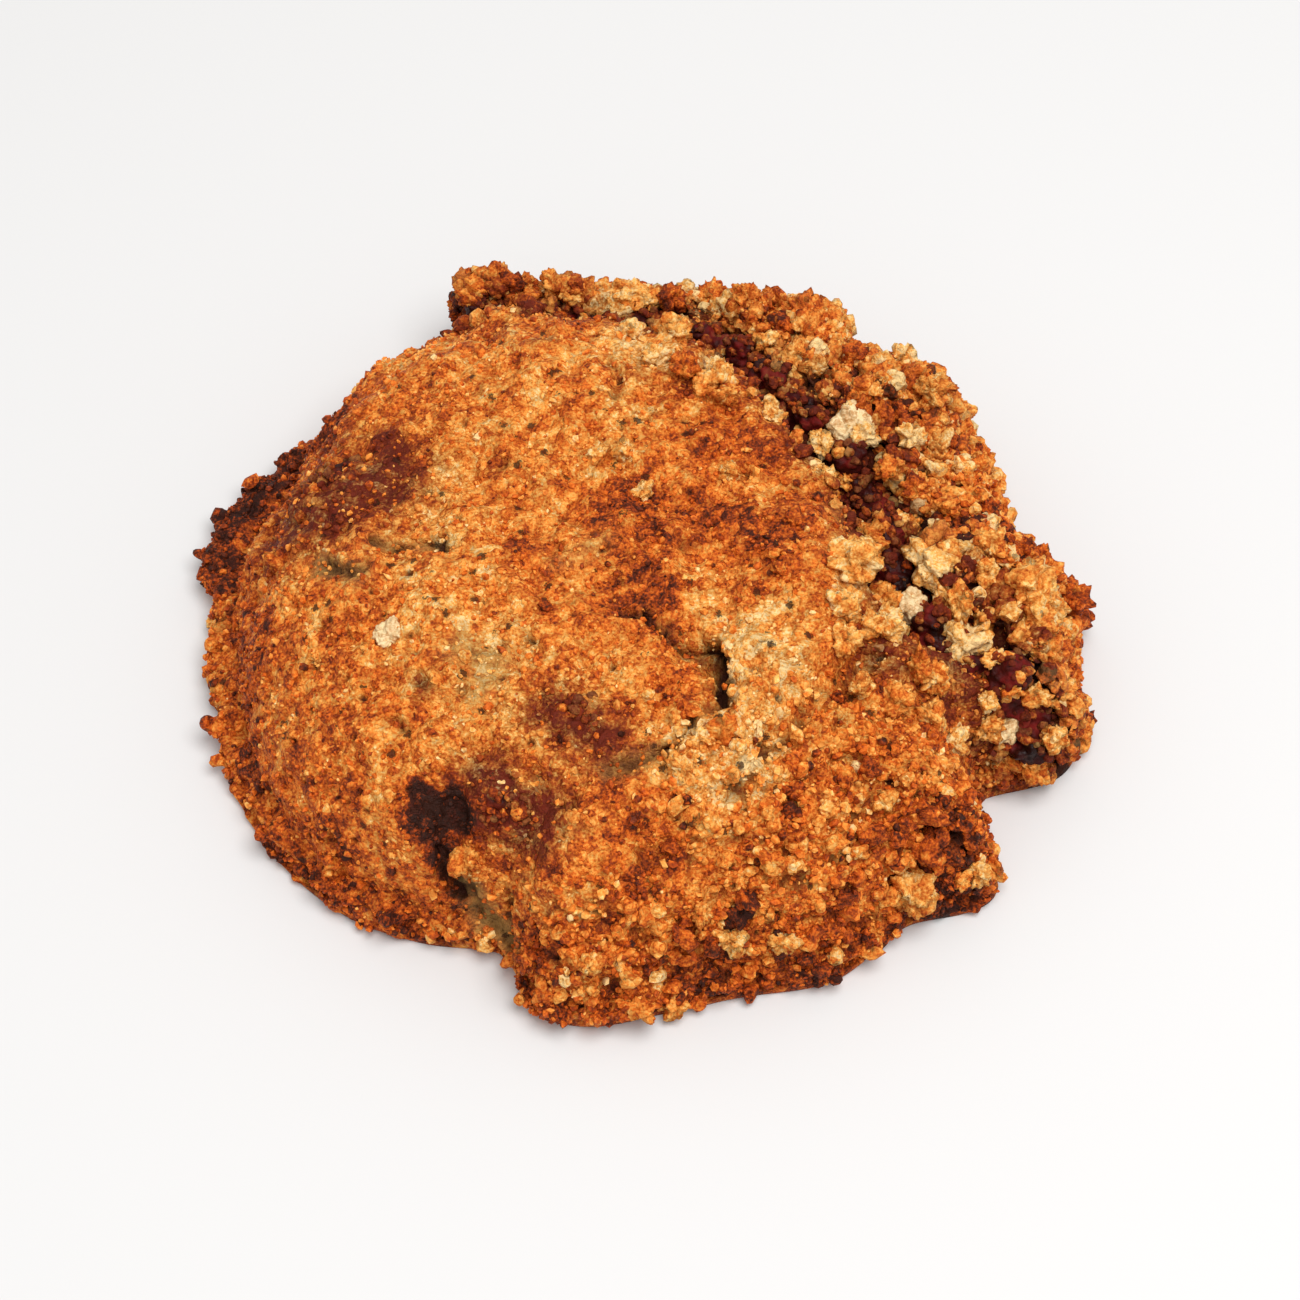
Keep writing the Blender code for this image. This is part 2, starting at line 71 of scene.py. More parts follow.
# %% [markdown]
# ## The camera
# A food picture is often taken from above the table, looking down at a slant. Here the slant is 55 degrees.
# A long lens keeps the mound from looking stretched. The camera comes first, because the places of small
# things, such as one crumb, are easiest to give as a point of the square picture, 1300 units wide. A ray
# through that point then finds the place on the crust itself, so that the crumb sits right from any side.

# %% Camera
ELEVATION = math.radians(55)
LENS_MM = 85.0
SENSOR_MM = 36.0
PICTURE = 1300
DISTANCE = 326.5
DOME_MIDDLE = np.array((1.17, -5.65))
TARGET = Vector((*DOME_MIDDLE, 8.0))
BACKWARD = Vector((0, -math.cos(ELEVATION), math.sin(ELEVATION)))
EYE = TARGET + BACKWARD * DISTANCE
MOST_INWARD = 60

camera = linked("camera", bpy.data.cameras.new("camera"))
camera.data.lens = LENS_MM
camera.data.sensor_width = SENSOR_MM
camera.location = EYE * MM
camera.rotation_euler = BACKWARD.to_track_quat("Z", "Y").to_euler()
bpy.context.scene.camera = camera
print("camera stands", round(DISTANCE), "mm away")


# %% A ray through a picture point
def picture_ray(px, py):
    """The direction in which the camera sees a point of the picture."""
    focal = PICTURE * LENS_MM / SENSOR_MM
    upward = BACKWARD.cross(Vector((1, 0, 0)))
    across = Vector((1, 0, 0)) * ((px - PICTURE / 2) / focal)
    return (across + upward * ((PICTURE / 2 - py) / focal) - BACKWARD).normalized()


def first_hit(tree, scale, px, py):
    """The place and the normal that show at a picture point, or further inwards if it is beside the form."""
    for inward in range(MOST_INWARD):
        share = inward / MOST_INWARD
        x = px + (PICTURE / 2 - px) * share
        y = py + (PICTURE / 2 - py) * share
        hit, normal = tree.ray_cast(EYE * scale, picture_ray(x, y))[:2]
        if hit:
            return np.array(hit) / scale, np.array(normal)
    raise ValueError("the ray misses the form")


print("the middle ray runs along", picture_ray(PICTURE / 2, PICTURE / 2)[:])


# %% [markdown]
# ## The form of the mound
# The dough's form comes from the same few sizes as its solid: an outline that a hand broke unevenly, a
# half section like a flattened oval, a thin foot that spread on the tray, ridges, creases, and the valley
# of the jam seam. All sizes are millimetres from the middle of the dome. The outline and the foot are given
# by angle, the seam as points with a half width, and a ridge or crease as rise or depth, width and points.

# %% Sizes of the mound
CROWN_HEIGHT = 22.0
SHOULDER_POWER = 4.0
WALL_POWER = 2.3
LIP_HEIGHT = 4.5
LIP_TUCK = 0.8
MEAN_RADIUS = 45.0
OUTLINE = (
    (0, 46.4), (9, 47.8), (16, 44.4), (28, 44.4), (40, 48.6), (50, 50.6), (59, 49.4), (67, 51.8),
    (80, 50.4), (90, 49.8), (100, 51.0), (108, 55.0), (114, 56.2), (117, 52.2), (122, 50.0),
    (138, 51.4), (150, 52.6), (161, 52.0), (172, 48.2), (190, 47.1), (206, 45.5), (222, 42.8),
    (233, 39.8), (244, 36.7), (249, 38.2), (252, 41.2), (260, 42.2), (272, 40.2), (284, 39.4),
    (298, 41.0), (312, 40.2), (324, 44.8), (331, 40.8), (338, 38.4), (346, 45.8), (353, 47.2),
)
FOOT_SPREAD = (
    (0, 1.2), (60, 0.8), (110, 0.6), (130, 0.8), (142, 3.6), (152, 6.2), (160, 5.4), (169, 3.2),
    (182, 2.8), (200, 2.4), (225, 1.8), (250, 1.0), (285, 1.6), (320, 1.4),
)
JAM_SEAM = (
    (-20.8, 44.8, 1.5), (-17.0, 44.2, 1.8), (-9.0, 43.4, 2.0), (-1.0, 42.2, 2.2), (5.0, 39.6, 2.5),
    (9.5, 35.2, 2.8), (13.5, 29.8, 3.0), (17.5, 24.2, 2.9), (21.5, 18.4, 3.0), (24.0, 12.2, 3.2),
    (25.4, 5.6, 2.6), (27.0, -0.4, 2.9), (31.4, -4.6, 3.9), (36.8, -7.6, 3.7), (39.8, -11.2, 2.8),
    (40.4, -13.4, 2.2),
)
RIDGES = (
    (2.0, 5.0, (15.0, 6.0), (15.6, -6.0), (11.5, -15.0), (5.5, -23.0)),
    (2.2, 2.6, (-20.0, 47.5), (-6.0, 46.5), (14.0, 45.0), (21.0, 41.5)),
    (1.6, 4.0, (29.0, 34.0), (35.0, 22.0), (39.0, 4.0), (44.0, -8.0)),
    (1.8, 4.0, (31.0, -30.0), (35.0, -25.0)),
    (0.7, 9.0, (-30.0, 24.0), (-14.0, 30.0), (4.0, 24.0)),
)
CREASES = (
    (1.3, 2.0, (22.0, -9.0), (16.5, -14.0), (11.5, -21.0)),
    (2.2, 1.6, (-19.4, -25.0), (-20.4, -33.0), (-15.0, -39.0)),
    (2.6, 1.8, (-12.4, -36.0), (-14.6, -43.0)),
    (1.8, 1.6, (-38.5, 21.5), (-41.0, 12.0), (-41.5, 4.0)),
    (2.2, 1.6, (34.0, -20.5), (38.0, -22.5)),
    (1.2, 2.4, (4.6, -8.6), (7.2, -13.2), (6.4, -19.0)),
)
SEAM_VALLEY = (2.4, 4.6)
SEAM_ENDS = (-0.5, 2.1)
CRUST_ROUGHNESS, RIM_ROUGHNESS, WALL_ROUGHNESS = 0.2, 1.0, 0.5
print("outline has", len(OUTLINE), "points and the jam seam", len(JAM_SEAM))


# %% Helpers for curves and distances
def smooth(share):
    """Eases shares from 0 to 1."""
    share = np.clip(share, 0.0, 1.0)
    return share * share * (3 - 2 * share)


def bell(distance, width):
    """Falls softly from 1 to almost 0 over two widths."""
    return np.exp(-((distance / width) ** 2))


def round_curve(points, degrees):
    """Values that pass smoothly through (angle, value) points all the way round."""
    angles = np.array([point[0] for point in points], float)
    values = np.array([point[1] for point in points], float)
    count = len(points)
    after = np.searchsorted(angles, degrees % 360, side="right") % count
    start = (after - 1) % count
    before, ahead = (after - 2) % count, (after + 1) % count
    span = (angles[after] - angles[start]) % 360
    share = ((degrees - angles[start]) % 360) / span
    rise_in = (values[after] - values[before]) / ((angles[after] - angles[before]) % 360) * span
    rise_out = (values[ahead] - values[start]) / ((angles[ahead] - angles[start]) % 360) * span
    s2, s3 = share ** 2, share ** 3
    ends = (2 * s3 - 3 * s2 + 1) * values[start] + (3 * s2 - 2 * s3) * values[after]
    return ends + (s3 - 2 * s2 + share) * rise_in + (s3 - s2) * rise_out


def off_line(line, places):
    """Distances from places to a line of straight stretches, in as many ways as the line's points have."""
    line = np.array(line, float)
    places = places[:, : line.shape[1]]
    nearest = np.full(len(places), np.inf)
    for start, end in zip(line, line[1:]):
        along = end - start
        share = np.clip((places - start) @ along / (along @ along), 0, 1)
        nearest = np.minimum(nearest, np.linalg.norm(places - start - share[:, None] * along, axis=1))
    return nearest


def noise_at(places, pitch, shift=0.0):
    """Smooth noise from -1 to 1 at places, with swells about as wide as the pitch in millimetres."""
    moved = places / pitch + shift
    return np.array([noise.noise(place) for place in moved.tolist()])


print("a share of 0.25 eases to", smooth(0.25))

# %% The form as a function of angle and ring
def half_section(ring):
    """Radius share and height share from the crown at ring 0 to the floor at ring 1, evenly spaced."""
    turn = np.radians(np.linspace(90, 0, 401))
    radius = np.clip(np.cos(turn), 0, 1) ** (2 / SHOULDER_POWER)
    height = np.sin(turn) ** (2 / WALL_POWER)
    radius[0] = 0.0
    steps = np.hypot(np.diff(radius) * MEAN_RADIUS, np.diff(height) * CROWN_HEIGHT)
    length = np.concatenate([[0], np.cumsum(steps)])
    return np.interp(ring * length[-1], length, radius), np.interp(ring * length[-1], length, height)


def outside_seam(places):
    """Millimetres outwards from the jam seam's middle line, and whether the seam reaches that way at all."""
    line = np.array(JAM_SEAM)[::-1]
    line_angle = np.arctan2(line[:, 1], line[:, 0])
    angle = np.arctan2(places[:, 1], places[:, 0])
    line_radius = np.hypot(line[:, 0], line[:, 1])
    beyond = np.hypot(places[:, 0], places[:, 1]) - np.interp(angle, line_angle, line_radius)
    return beyond, (angle > SEAM_ENDS[0]) & (angle < SEAM_ENDS[1])


def mound(angle, ring):
    """Places on the dough's skin, with the share of each that belongs to the top."""
    degrees = np.degrees(angle)
    radius_share, height_share = half_section(ring)
    spread = round_curve(FOOT_SPREAD, degrees)
    height = CROWN_HEIGHT * height_share
    foot = smooth((LIP_HEIGHT + 1.0 - height) / 2.0)
    radius = radius_share * (round_curve(OUTLINE, degrees) - spread) + foot * spread
    radius -= LIP_TUCK * smooth(1.0 - height)
    places = np.stack([radius * np.cos(angle), radius * np.sin(angle), height], axis=1)
    on_top = smooth(height_share / 0.55)
    beyond, has_seam = outside_seam(places)
    rough = np.where((beyond > 0) & has_seam, RIM_ROUGHNESS, CRUST_ROUGHNESS) + WALL_ROUGHNESS * (1 - on_top)
    bump = (
        noise_at(places * 0.055, 1.0)
        + (0.8 + rough) * noise_at(places * 0.21, 1.0, np.array((7.0, 3.0, 1.0)))
        + (0.6 + 1.2 * rough) * noise_at(places * 0.42, 1.0, np.array((2.0, 9.0, 4.0)))
    )
    relief = -SEAM_VALLEY[0] * bell(off_line(np.array(JAM_SEAM)[:, :2], places), SEAM_VALLEY[1])
    for rise, width, *line in RIDGES:
        relief += rise * bell(off_line(line, places), width)
    for depth, width, *line in CREASES:
        relief -= depth * bell(off_line(line, places), width)
    free = smooth((height - 0.3) / 2.5)
    places[:, 2] += on_top * relief + free * bump * (0.35 + 0.65 * on_top)
    outward = free * bump * (1 - on_top) * 0.9
    places[:, 0] += outward * np.cos(angle)
    places[:, 1] += outward * np.sin(angle)
    places[:, 2] = np.maximum(places[:, 2], 0.0)
    return places, on_top


print("half way down the skin:", *(share.round(2) for share in half_section(0.5)))

# %% [markdown]
# ## The crust's mesh
# A disc of even small faces could come from a cone or a sphere, but those crowd their faces at a pole. A
# square grid bent into a disc has no pole, and its rings run from the crown down the wall to the floor.
# Each point is moved to the mound's form, and the last ring is closed by one flat face, the underside.

# %% Bend a grid into the mound
GRID_CELLS = 300


def rows(items, field):
    """A field of all points or normals, as rows of three numbers."""
    flat = np.empty(len(items) * 3, np.float32)
    items.foreach_get(field, flat)
    return flat.reshape(-1, 3).astype(float)


def mesh_points(mesh):
    return rows(mesh.vertices, "co")


def mesh_normals(mesh):
    return rows(mesh.vertex_normals, "vector")


def set_points(mesh, points):
    mesh.vertices.foreach_set("co", np.ascontiguousarray(points, np.float32).ravel())
    mesh.update()


def made_mesh(bm, name):
    """A new mesh of what was built, which is then let go."""
    mesh = bpy.data.meshes.new(name)
    bm.to_mesh(mesh)
    bm.free()
    return mesh


def disc_of_square(flat):
    """Angle and ring of each point of the square grid when it is bent into a disc."""
    u, v = flat[:, 0], flat[:, 1]
    ring = np.maximum(np.abs(u), np.abs(v))
    safe = np.where(ring < 1e-6, 1.0, ring)
    side = np.where(np.abs(u) >= np.abs(v), math.pi / 4 * v / np.where(u == 0, safe, u), 0.0)
    side = np.where((np.abs(u) >= np.abs(v)) & (u < 0), side + math.pi, side)
    lying = math.pi / 2 - math.pi / 4 * u / np.where(v == 0, safe, v) + np.where(v < 0, math.pi, 0.0)
    return np.where(np.abs(u) >= np.abs(v), side, lying), np.minimum(ring, 1.0)


bm = bmesh.new()
bmesh.ops.create_grid(bm, x_segments=GRID_CELLS, y_segments=GRID_CELLS, size=1.0)
crust_mesh = made_mesh(bm, "crust")
angle, ring = disc_of_square(mesh_points(crust_mesh))
base_places, on_top = mound(angle, ring)
base_places[ring > 1 - 1e-4, 2] = 0.0
base_places[:, :2] += DOME_MIDDLE
set_points(crust_mesh, base_places)
print("crust grid has", len(crust_mesh.polygons), "faces")


# %% Find a picture point on the mound
def tree_of(mesh):
    points = mesh_points(mesh)
    return BVHTree.FromPolygons(points.tolist(), [list(face.vertices) for face in mesh.polygons])


mound_tree = tree_of(crust_mesh)


def on_mound(px, py):
    """The place on the mound that shows at a picture point."""
    return first_hit(mound_tree, 1.0, px, py)[0]


RAGGED_REACH = 0.6


def marked(marks, places, edge):
    """How strongly the marks cover places. The edge makes their reach ragged."""
    total = np.zeros(len(places))
    for reach, amount, *line in marks:
        away = off_line([on_mound(*point) for point in line], places) + edge * reach * RAGGED_REACH
        total += amount * bell(np.maximum(away, 0), reach)
    return total


print("the middle of the picture is", on_mound(PICTURE / 2, PICTURE / 2).round(1), "on the mound")

# %% [markdown]
# ## Cracks, creases and pores
# A crust cracks where the inside swells after the top has set. Each crack is a line of a few points along
# which the crust sinks sharply, and it wanders by noise so that it runs round the grains. A small pore is a
# crack with one point. The crust also sinks where the jam seam and the flat piece of chocolate lie in it, and
# rises a little round the jam spots and the other pieces of chocolate.

# %% Crack lines: depth and half width in millimetres, then picture points
CRACKS = (
    (2.6, 0.75, (622, 611), (650, 612), (668, 630), (688, 644), (708, 642)),
    (3.0, 0.8, (708, 642), (717, 666), (720, 694)),
    (1.3, 1.2, (692, 650), (712, 662)),
    (1.3, 0.6, (720, 700), (694, 714), (694, 728)),
    (1.8, 0.6, (678, 734), (662, 750)),
    (1.4, 0.5, (562, 804), (568, 808)),
    (1.1, 0.7, (654, 753), (634, 760), (612, 772)),
    (0.5, 1.2, (430, 806), (446, 812), (462, 806)),
    (1.5, 0.7, (438, 834), (445, 862), (458, 896)),
    (1.5, 0.55, (374, 541), (398, 547), (424, 541), (446, 546)),
    (1.2, 0.8, (322, 566), (342, 572), (358, 568)),
    (0.9, 0.5, (612, 362), (618, 392)),
    (0.5, 0.4, (468, 651), (502, 647)),
    (1.0, 0.5, (640, 412), (646, 420)),
    (0.8, 1.0, (868, 664), (838, 692), (800, 722), (766, 752), (742, 782)),
    (0.9, 0.7, (540, 962), (600, 970), (690, 980), (800, 974)),
    (1.0, 0.9, (310, 442), (284, 478), (258, 524), (238, 575), (224, 618)),
    (1.0, 0.8, (468, 890), (484, 920), (504, 952)),
    (1.2, 0.7, (506, 892), (504, 950), (508, 1000)),
    (1.8, 1.0, (936, 838), (962, 846), (976, 858)),
    (0.8, 0.5, (640, 850), (652, 882)),
    (0.5, 0.5, (560, 742), (575, 706)),
    (0.6, 0.6, (788, 800), (812, 772), (848, 760)),
    (0.5, 0.5, (700, 868), (760, 860), (800, 842)),
)
PORES = (
    (687, 543), (325, 625), (315, 665), (465, 695), (620, 580), (500, 465), (960, 845), (1042, 602),
    (420, 683), (642, 415), (527, 640), (748, 470), (398, 724), (356, 790), (950, 838), (972, 852),
    (330, 840), (606, 1008), (580, 1012), (632, 1000), (850, 902), (890, 900), (258, 800), (290, 742),
)
# Pores and cracks also get painted shade: their colour darkens, more in deeper cracks.
PORE_DEPTH, PORE_WIDTH, PORE_SHADE = 1.3, 0.6, 0.8
SHALLOW_CRACK = 1.2
CRACK_SHADE_DEPTH = 1.7

normals = mesh_normals(crust_mesh)
ragged = 0.5 * noise_at(base_places, 1.0) + 0.55 * noise_at(base_places, 2.4, 11.0)
broken = smooth(0.95 + 1.1 * noise_at(base_places, 1.6, 17.0))
wander = [
    0.9 * noise_at(base_places, 2.6, 31.0 + axis) + 0.5 * noise_at(base_places, 1.0, 41.0 + axis)
    for axis in range(3)
]
wandered = base_places + np.stack(wander, axis=1)
sink = np.zeros(len(base_places))
# Painted shade in the cracks and pores, from 0 to 1, which darkens the crust's colour.
painted_shade = np.zeros(len(base_places))
for depth, width, *line in CRACKS:
    away = off_line([on_mound(*point) for point in line], wandered)
    whole = np.maximum(broken, min(max(depth - SHALLOW_CRACK, 0.0), 1.0))
    sink += depth * whole * bell(away, width)
    painted_shade = np.maximum(painted_shade, min(depth / CRACK_SHADE_DEPTH, 1.5) * whole * bell(away, 1.1 * width))
for point in PORES:
    away = np.linalg.norm(wandered - on_mound(*point), axis=1)
    sink += PORE_DEPTH * bell(away, PORE_WIDTH)
    painted_shade = np.maximum(painted_shade, PORE_SHADE * bell(away, PORE_WIDTH))
print("cracks sink up to", round(float(sink.max()), 1), "mm")

# %% Beds for the jam and the chocolate, with the places where the seam lies open
OPENING_MARKS = (
    (3.0, 1.0, (738, 326), (768, 378)),
    (2.8, 1.0, (790, 384), (812, 432)),
    (2.6, 0.9, (848, 468), (876, 500)),
    (3.2, 1.2, (884, 470), (902, 520), (892, 590)),
    (2.8, 1.0, (905, 604), (938, 628), (985, 645)),
    (2.8, 1.0, (1012, 606), (1032, 636), (1042, 662)),
    (2.4, 1.0, (1044, 712), (1054, 738)),
    (2.4, 1.1, (466, 314), (520, 310), (580, 312)),
)
SEAM_BED = 3.4
seam_line = np.array(JAM_SEAM)[:, :2] + DOME_MIDDLE
plan_off_seam = off_line(seam_line, base_places)
nearest_point = np.linalg.norm(base_places[:, None, :2] - seam_line[None], axis=2).argmin(axis=1)
seam_half = np.array(JAM_SEAM)[nearest_point, 2]
opening = smooth(marked(OPENING_MARKS, base_places, ragged) - 0.1)
bed = SEAM_BED * smooth((seam_half + 1.2 + 1.2 * ragged - plan_off_seam) / 1.3)
bed *= smooth((base_places[:, 2] - 3) / 3) * (0.25 + 0.75 * opening)


def bed_of(node, depth, margin):
    """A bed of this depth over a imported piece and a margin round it, with a soft ragged edge."""
    low, high = (np.array(corner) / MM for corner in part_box(node))
    middle, half = (low + high) / 2, (high - low) / 2 + margin
    reach = np.linalg.norm((base_places - middle) / np.maximum(half, 1.0), axis=1)
    return depth * smooth((1.0 + 0.12 * ragged - reach) / 0.25)


JAM_SPOTS = ("jam_pocket_left", "jam_pocket_front", "jam_pocket_middle")
CHOCOLATES = ("white_chocolate_left", "white_chocolate_back", "white_chocolate_seam", "white_chocolate_rim")
for node in JAM_SPOTS:
    bed -= bed_of(node, 0.7, 1.2)
bed += bed_of("white_chocolate_left", 0.7, 0.3)
for node in CHOCOLATES[1:]:
    bed -= bed_of(node, 0.3, 0.6)
print("beds cover", int((bed > 0.5).sum()), "points")

# %% [markdown]
# ## Toast, stain and crumb
# Colour follows what happened in the oven. Where the crust stood high or thin it toasted darker, where it
# split it stayed pale, and jam boiled out and stained it. Each mark is a short line on the mound with a
# reach, and an amount of toast or stain. The marks' edges are ragged, because crumb soaks unevenly.

# %% Marks: reach in millimetres, amount, then picture points
TOAST_MARKS = (
    (5.0, 0.36, (640, 500), (715, 525), (790, 560)),
    (3.6, 0.14, (610, 530), (650, 580), (700, 600)),
    (3.5, 0.08, (500, 560), (580, 572), (650, 590)),
    (4.0, 0.07, (700, 440), (780, 450), (800, 500)),
    (5.0, 0.14, (335, 420), (292, 480), (262, 560), (246, 660), (250, 740)),
    (4.0, 0.08, (420, 430), (400, 520), (430, 560)),
    (5.0, 0.15, (240, 780), (300, 850), (380, 905), (430, 930)),
    (5.0, 0.05, (320, 700), (340, 800), (400, 860)),
    (4.6, 0.21, (530, 940), (640, 950), (740, 950), (840, 940), (900, 915)),
    (2.5, 0.14, (560, 1010), (640, 1015), (760, 995), (850, 975)),
    (4.4, 0.42, (930, 826), (975, 845), (955, 885)),
    (2.5, 0.04, (330, 400), (380, 370), (440, 338)),
    (3.0, 0.10, (940, 370), (985, 450), (1000, 520)),
    (3.0, 0.36, (310, 442), (270, 468), (240, 505)),
    (2.4, 0.38, (236, 512), (224, 545), (224, 580)),
    (1.8, -0.04, (214, 600), (212, 650), (214, 720)),
    (2.6, 1.0, (434, 808), (466, 812)),
    (1.1, 0.65, (440, 846), (446, 870), (456, 892)),
    (2.2, 0.20, (380, 440), (410, 452)),
    (3.0, 0.16, (545, 700), (615, 735)),
    (0.6, 0.7, (570, 706), (578, 708)),
    (0.5, 0.6, (559, 739), (562, 741)),
    (3.4, 0.10, (680, 380), (700, 420), (760, 440)),
    (4.2, 0.12, (560, 870), (640, 880), (720, 900)),
    (3.0, 0.16, (800, 500), (850, 520)),
    (3.4, 0.16, (850, 400), (930, 410), (990, 440)),
    (3.2, 0.20, (862, 630), (880, 690), (930, 720)),
    (3.0, 0.22, (640, 596), (672, 640), (668, 690)),
    (3.0, 0.14, (262, 625), (276, 660)),
    (2.6, 0.20, (1025, 553), (1080, 605)),
    (2.6, 0.02, (1050, 660), (1085, 720), (1060, 760)),
    (2.4, 0.04, (460, 290), (520, 285), (570, 300)),
    (4.0, 0.04, (450, 640), (520, 650), (560, 600)),
    (4.0, 0.05, (430, 745), (520, 790), (600, 820)),
)
PALE_MARKS = (
    (4.8, 0.21, (805, 580), (790, 640), (770, 690), (720, 760)),
    (3.4, 0.12, (730, 612), (745, 660)),
    (5.0, 0.11, (400, 590), (430, 630), (480, 660)),
    (2.6, 0.08, (560, 292), (700, 296), (790, 310)),
    (3.0, 0.10, (856, 600), (880, 650)),
    (7.0, 0.05, (500, 350), (600, 380), (540, 430)),
    (5.0, 0.03, (480, 500), (600, 520)),
    (2.4, 0.20, (620, 335), (665, 362)),
    (3.0, 0.08, (920, 560), (960, 640)),
    (6.0, 0.06, (800, 760), (900, 800)),
    (4.0, 0.12, (860, 350), (930, 380), (960, 410)),
)
STAIN_MARKS = (
    (5.2, 1.6, (288, 526), (338, 500), (384, 484)),
    (2.6, 0.5, (300, 470), (350, 440)),
    (1.6, 0.7, (392, 436), (402, 448)),
    (4.2, 1.7, (486, 796), (536, 822)),
    (3.2, 1.4, (552, 712), (604, 736)),
    (1.4, 0.7, (418, 680), (424, 688)),
    (2.2, 1.2, (470, 316), (530, 308), (590, 314), (640, 320)),
    (0.9, 0.9, (536, 338), (552, 338)),
    (4.4, 1.3, (905, 590), (960, 620), (1015, 625), (1035, 650), (1052, 728)),
    (3.8, 0.9, (880, 652), (920, 682), (965, 716), (1000, 742)),
    (3.0, 0.7, (1000, 600), (985, 575), (960, 640)),
    (3.0, 0.8, (840, 430), (860, 480), (886, 540)),
    (4.6, 0.8, (690, 330), (740, 350), (790, 400), (812, 440)),
    (4.4, 1.2, (830, 450), (880, 500), (892, 580)),
    (3.0, 0.5, (880, 440), (930, 430)),
    (2.4, 0.4, (640, 370), (690, 390)),
    (1.2, 0.4, (500, 462), (516, 456)),
)
RAW_MARKS = (
    (1.9, 0.55, (462, 650), (500, 660), (480, 690)),
    (1.3, 0.9, (320, 564), (358, 572)),
    (0.8, 0.7, (376, 541), (446, 546)),
    (1.7, 0.9, (470, 890), (486, 920), (508, 950)),
    (2.0, 0.6, (846, 470), (870, 500)),
    (3.4, 0.4, (940, 640), (1000, 660)),
    (2.4, 0.5, (770, 352), (840, 400)),
    (3.0, 0.4, (880, 366), (960, 420)),
    (2.4, 0.4, (850, 520), (862, 500)),
    (1.2, 0.7, (606, 770), (664, 750)),
    (1.5, 0.3, (560, 560), (600, 540)),
)
print(len(TOAST_MARKS), "toast marks and", len(STAIN_MARKS), "stain marks")


# %% Toast and stain of any place
TOAST_BASE = 0.41
WALL_TOAST = 0.13
BURNT = 0.8


def flavour(places):
    """Toast, stain, rawness and crumbliness at places, each about 0 to 1."""
    edge = 0.7 * noise_at(places, 3.2, 5.0) + 0.6 * noise_at(places, 1.4, 8.0)
    toast = TOAST_BASE + marked(TOAST_MARKS, places, edge) - marked(PALE_MARKS, places, edge)
    toast += WALL_TOAST * smooth((12 - places[:, 2]) / 9)
    for amount, pitch, start in ((0.14, 13.0, 3.0), (0.20, 4.5, 6.0), (0.12, 1.7, 9.0)):
        toast += amount * noise_at(places, pitch, start)
    seam = bell(off_line(seam_line, places), 4.4) * smooth(0.7 + 0.8 * edge)
    stain = np.clip(marked(STAIN_MARKS, places, edge) * smooth(0.75 + 0.7 * edge) + 0.8 * seam, 0, 1)
    stain *= 1 - smooth((toast - BURNT) / (1 - BURNT))
    raw = np.clip(marked(RAW_MARKS, places, edge), 0, 1)
    shifted = places.copy()
    shifted[:, :2] -= DOME_MIDDLE
    beyond, has_seam = outside_seam(shifted)
    rim = smooth((beyond + 7.5) / 7.0) * has_seam
    foot = 0.5 * smooth((6 - places[:, 2]) / 5)
    lower_right = 0.5 * smooth((shifted[:, 0] + 6) / 16) * smooth((-shifted[:, 1] - 10) / 14)
    front_wall = 0.5 * smooth((shifted[:, 0] + 20) / 8) * smooth((-shifted[:, 1] - 32) / 5)
    return toast, stain, raw, np.maximum.reduce([rim, foot, lower_right, front_wall])


toast, stain, raw, crumbly = flavour(base_places)
print("toast runs from", toast.min().round(2), "to", toast.max().round(2))

# %% [markdown]
# ## Grains in the crust
# Close up, the crust is packed with grains of sugar, flour and crumb about a millimetre wide. Cells round
# scattered points give that look: each cell swells to a grain and gets its own toast, and the borders stay
# low and get painted shade. A few cells of a wider kind sink, which leaves pores with painted shade. Where
# the crust is crumbly it is craggy too, and lies lower, which makes room for the loose crumbs.

# %% Raise the grains
GRAIN_PITCH, PORE_PITCH = 1.05, 1.9
GRAIN_RISE = 0.17
PORE_SINK = 0.6
SHARE_WITHOUT_PORE = 0.8
CRAG_RISE = 1.5
CRUMB_ROOM = 1.1


def cells(places, pitch):
    """Distance to the nearest cell point, in pitches, and a random number for that cell."""
    distance, chance = np.empty(len(places)), np.empty(len(places))
    for i, place in enumerate((places / pitch).tolist()):
        near, points = noise.voronoi(place)
        distance[i] = near[0]
        chance[i] = noise.cell(points[0] * 7.3) * 0.5 + 0.5
    return distance, chance


grain_distance, grain_chance = cells(base_places, GRAIN_PITCH)
pore_distance, pore_chance = cells(base_places + 50.0, PORE_PITCH)
grain = (0.45 - grain_distance) * 2 * (0.5 + grain_chance)
pore = smooth((0.26 - pore_distance) / 0.12) * (pore_chance > SHARE_WITHOUT_PORE)
crag = noise_at(base_places, 2.1, 21.0)
cragged = crag * (0.22 + CRAG_RISE * crumbly)
room = CRUMB_ROOM * np.maximum(crumbly, 0.55 * (1 - on_top))
lift = GRAIN_RISE * grain * (1 + 1.2 * crumbly) + cragged - PORE_SINK * pore - sink - bed - room
free_of_floor = smooth(base_places[:, 2] / 1.2)
crust_places = base_places + normals * (lift * free_of_floor)[:, None]
crust_places[:, 2] = np.maximum(crust_places[:, 2], 0.0)
crust_places[ring > 1 - 1e-4, 2] = 0.0
set_points(crust_mesh, crust_places)

toast += 0.22 * (grain_chance - 0.5)
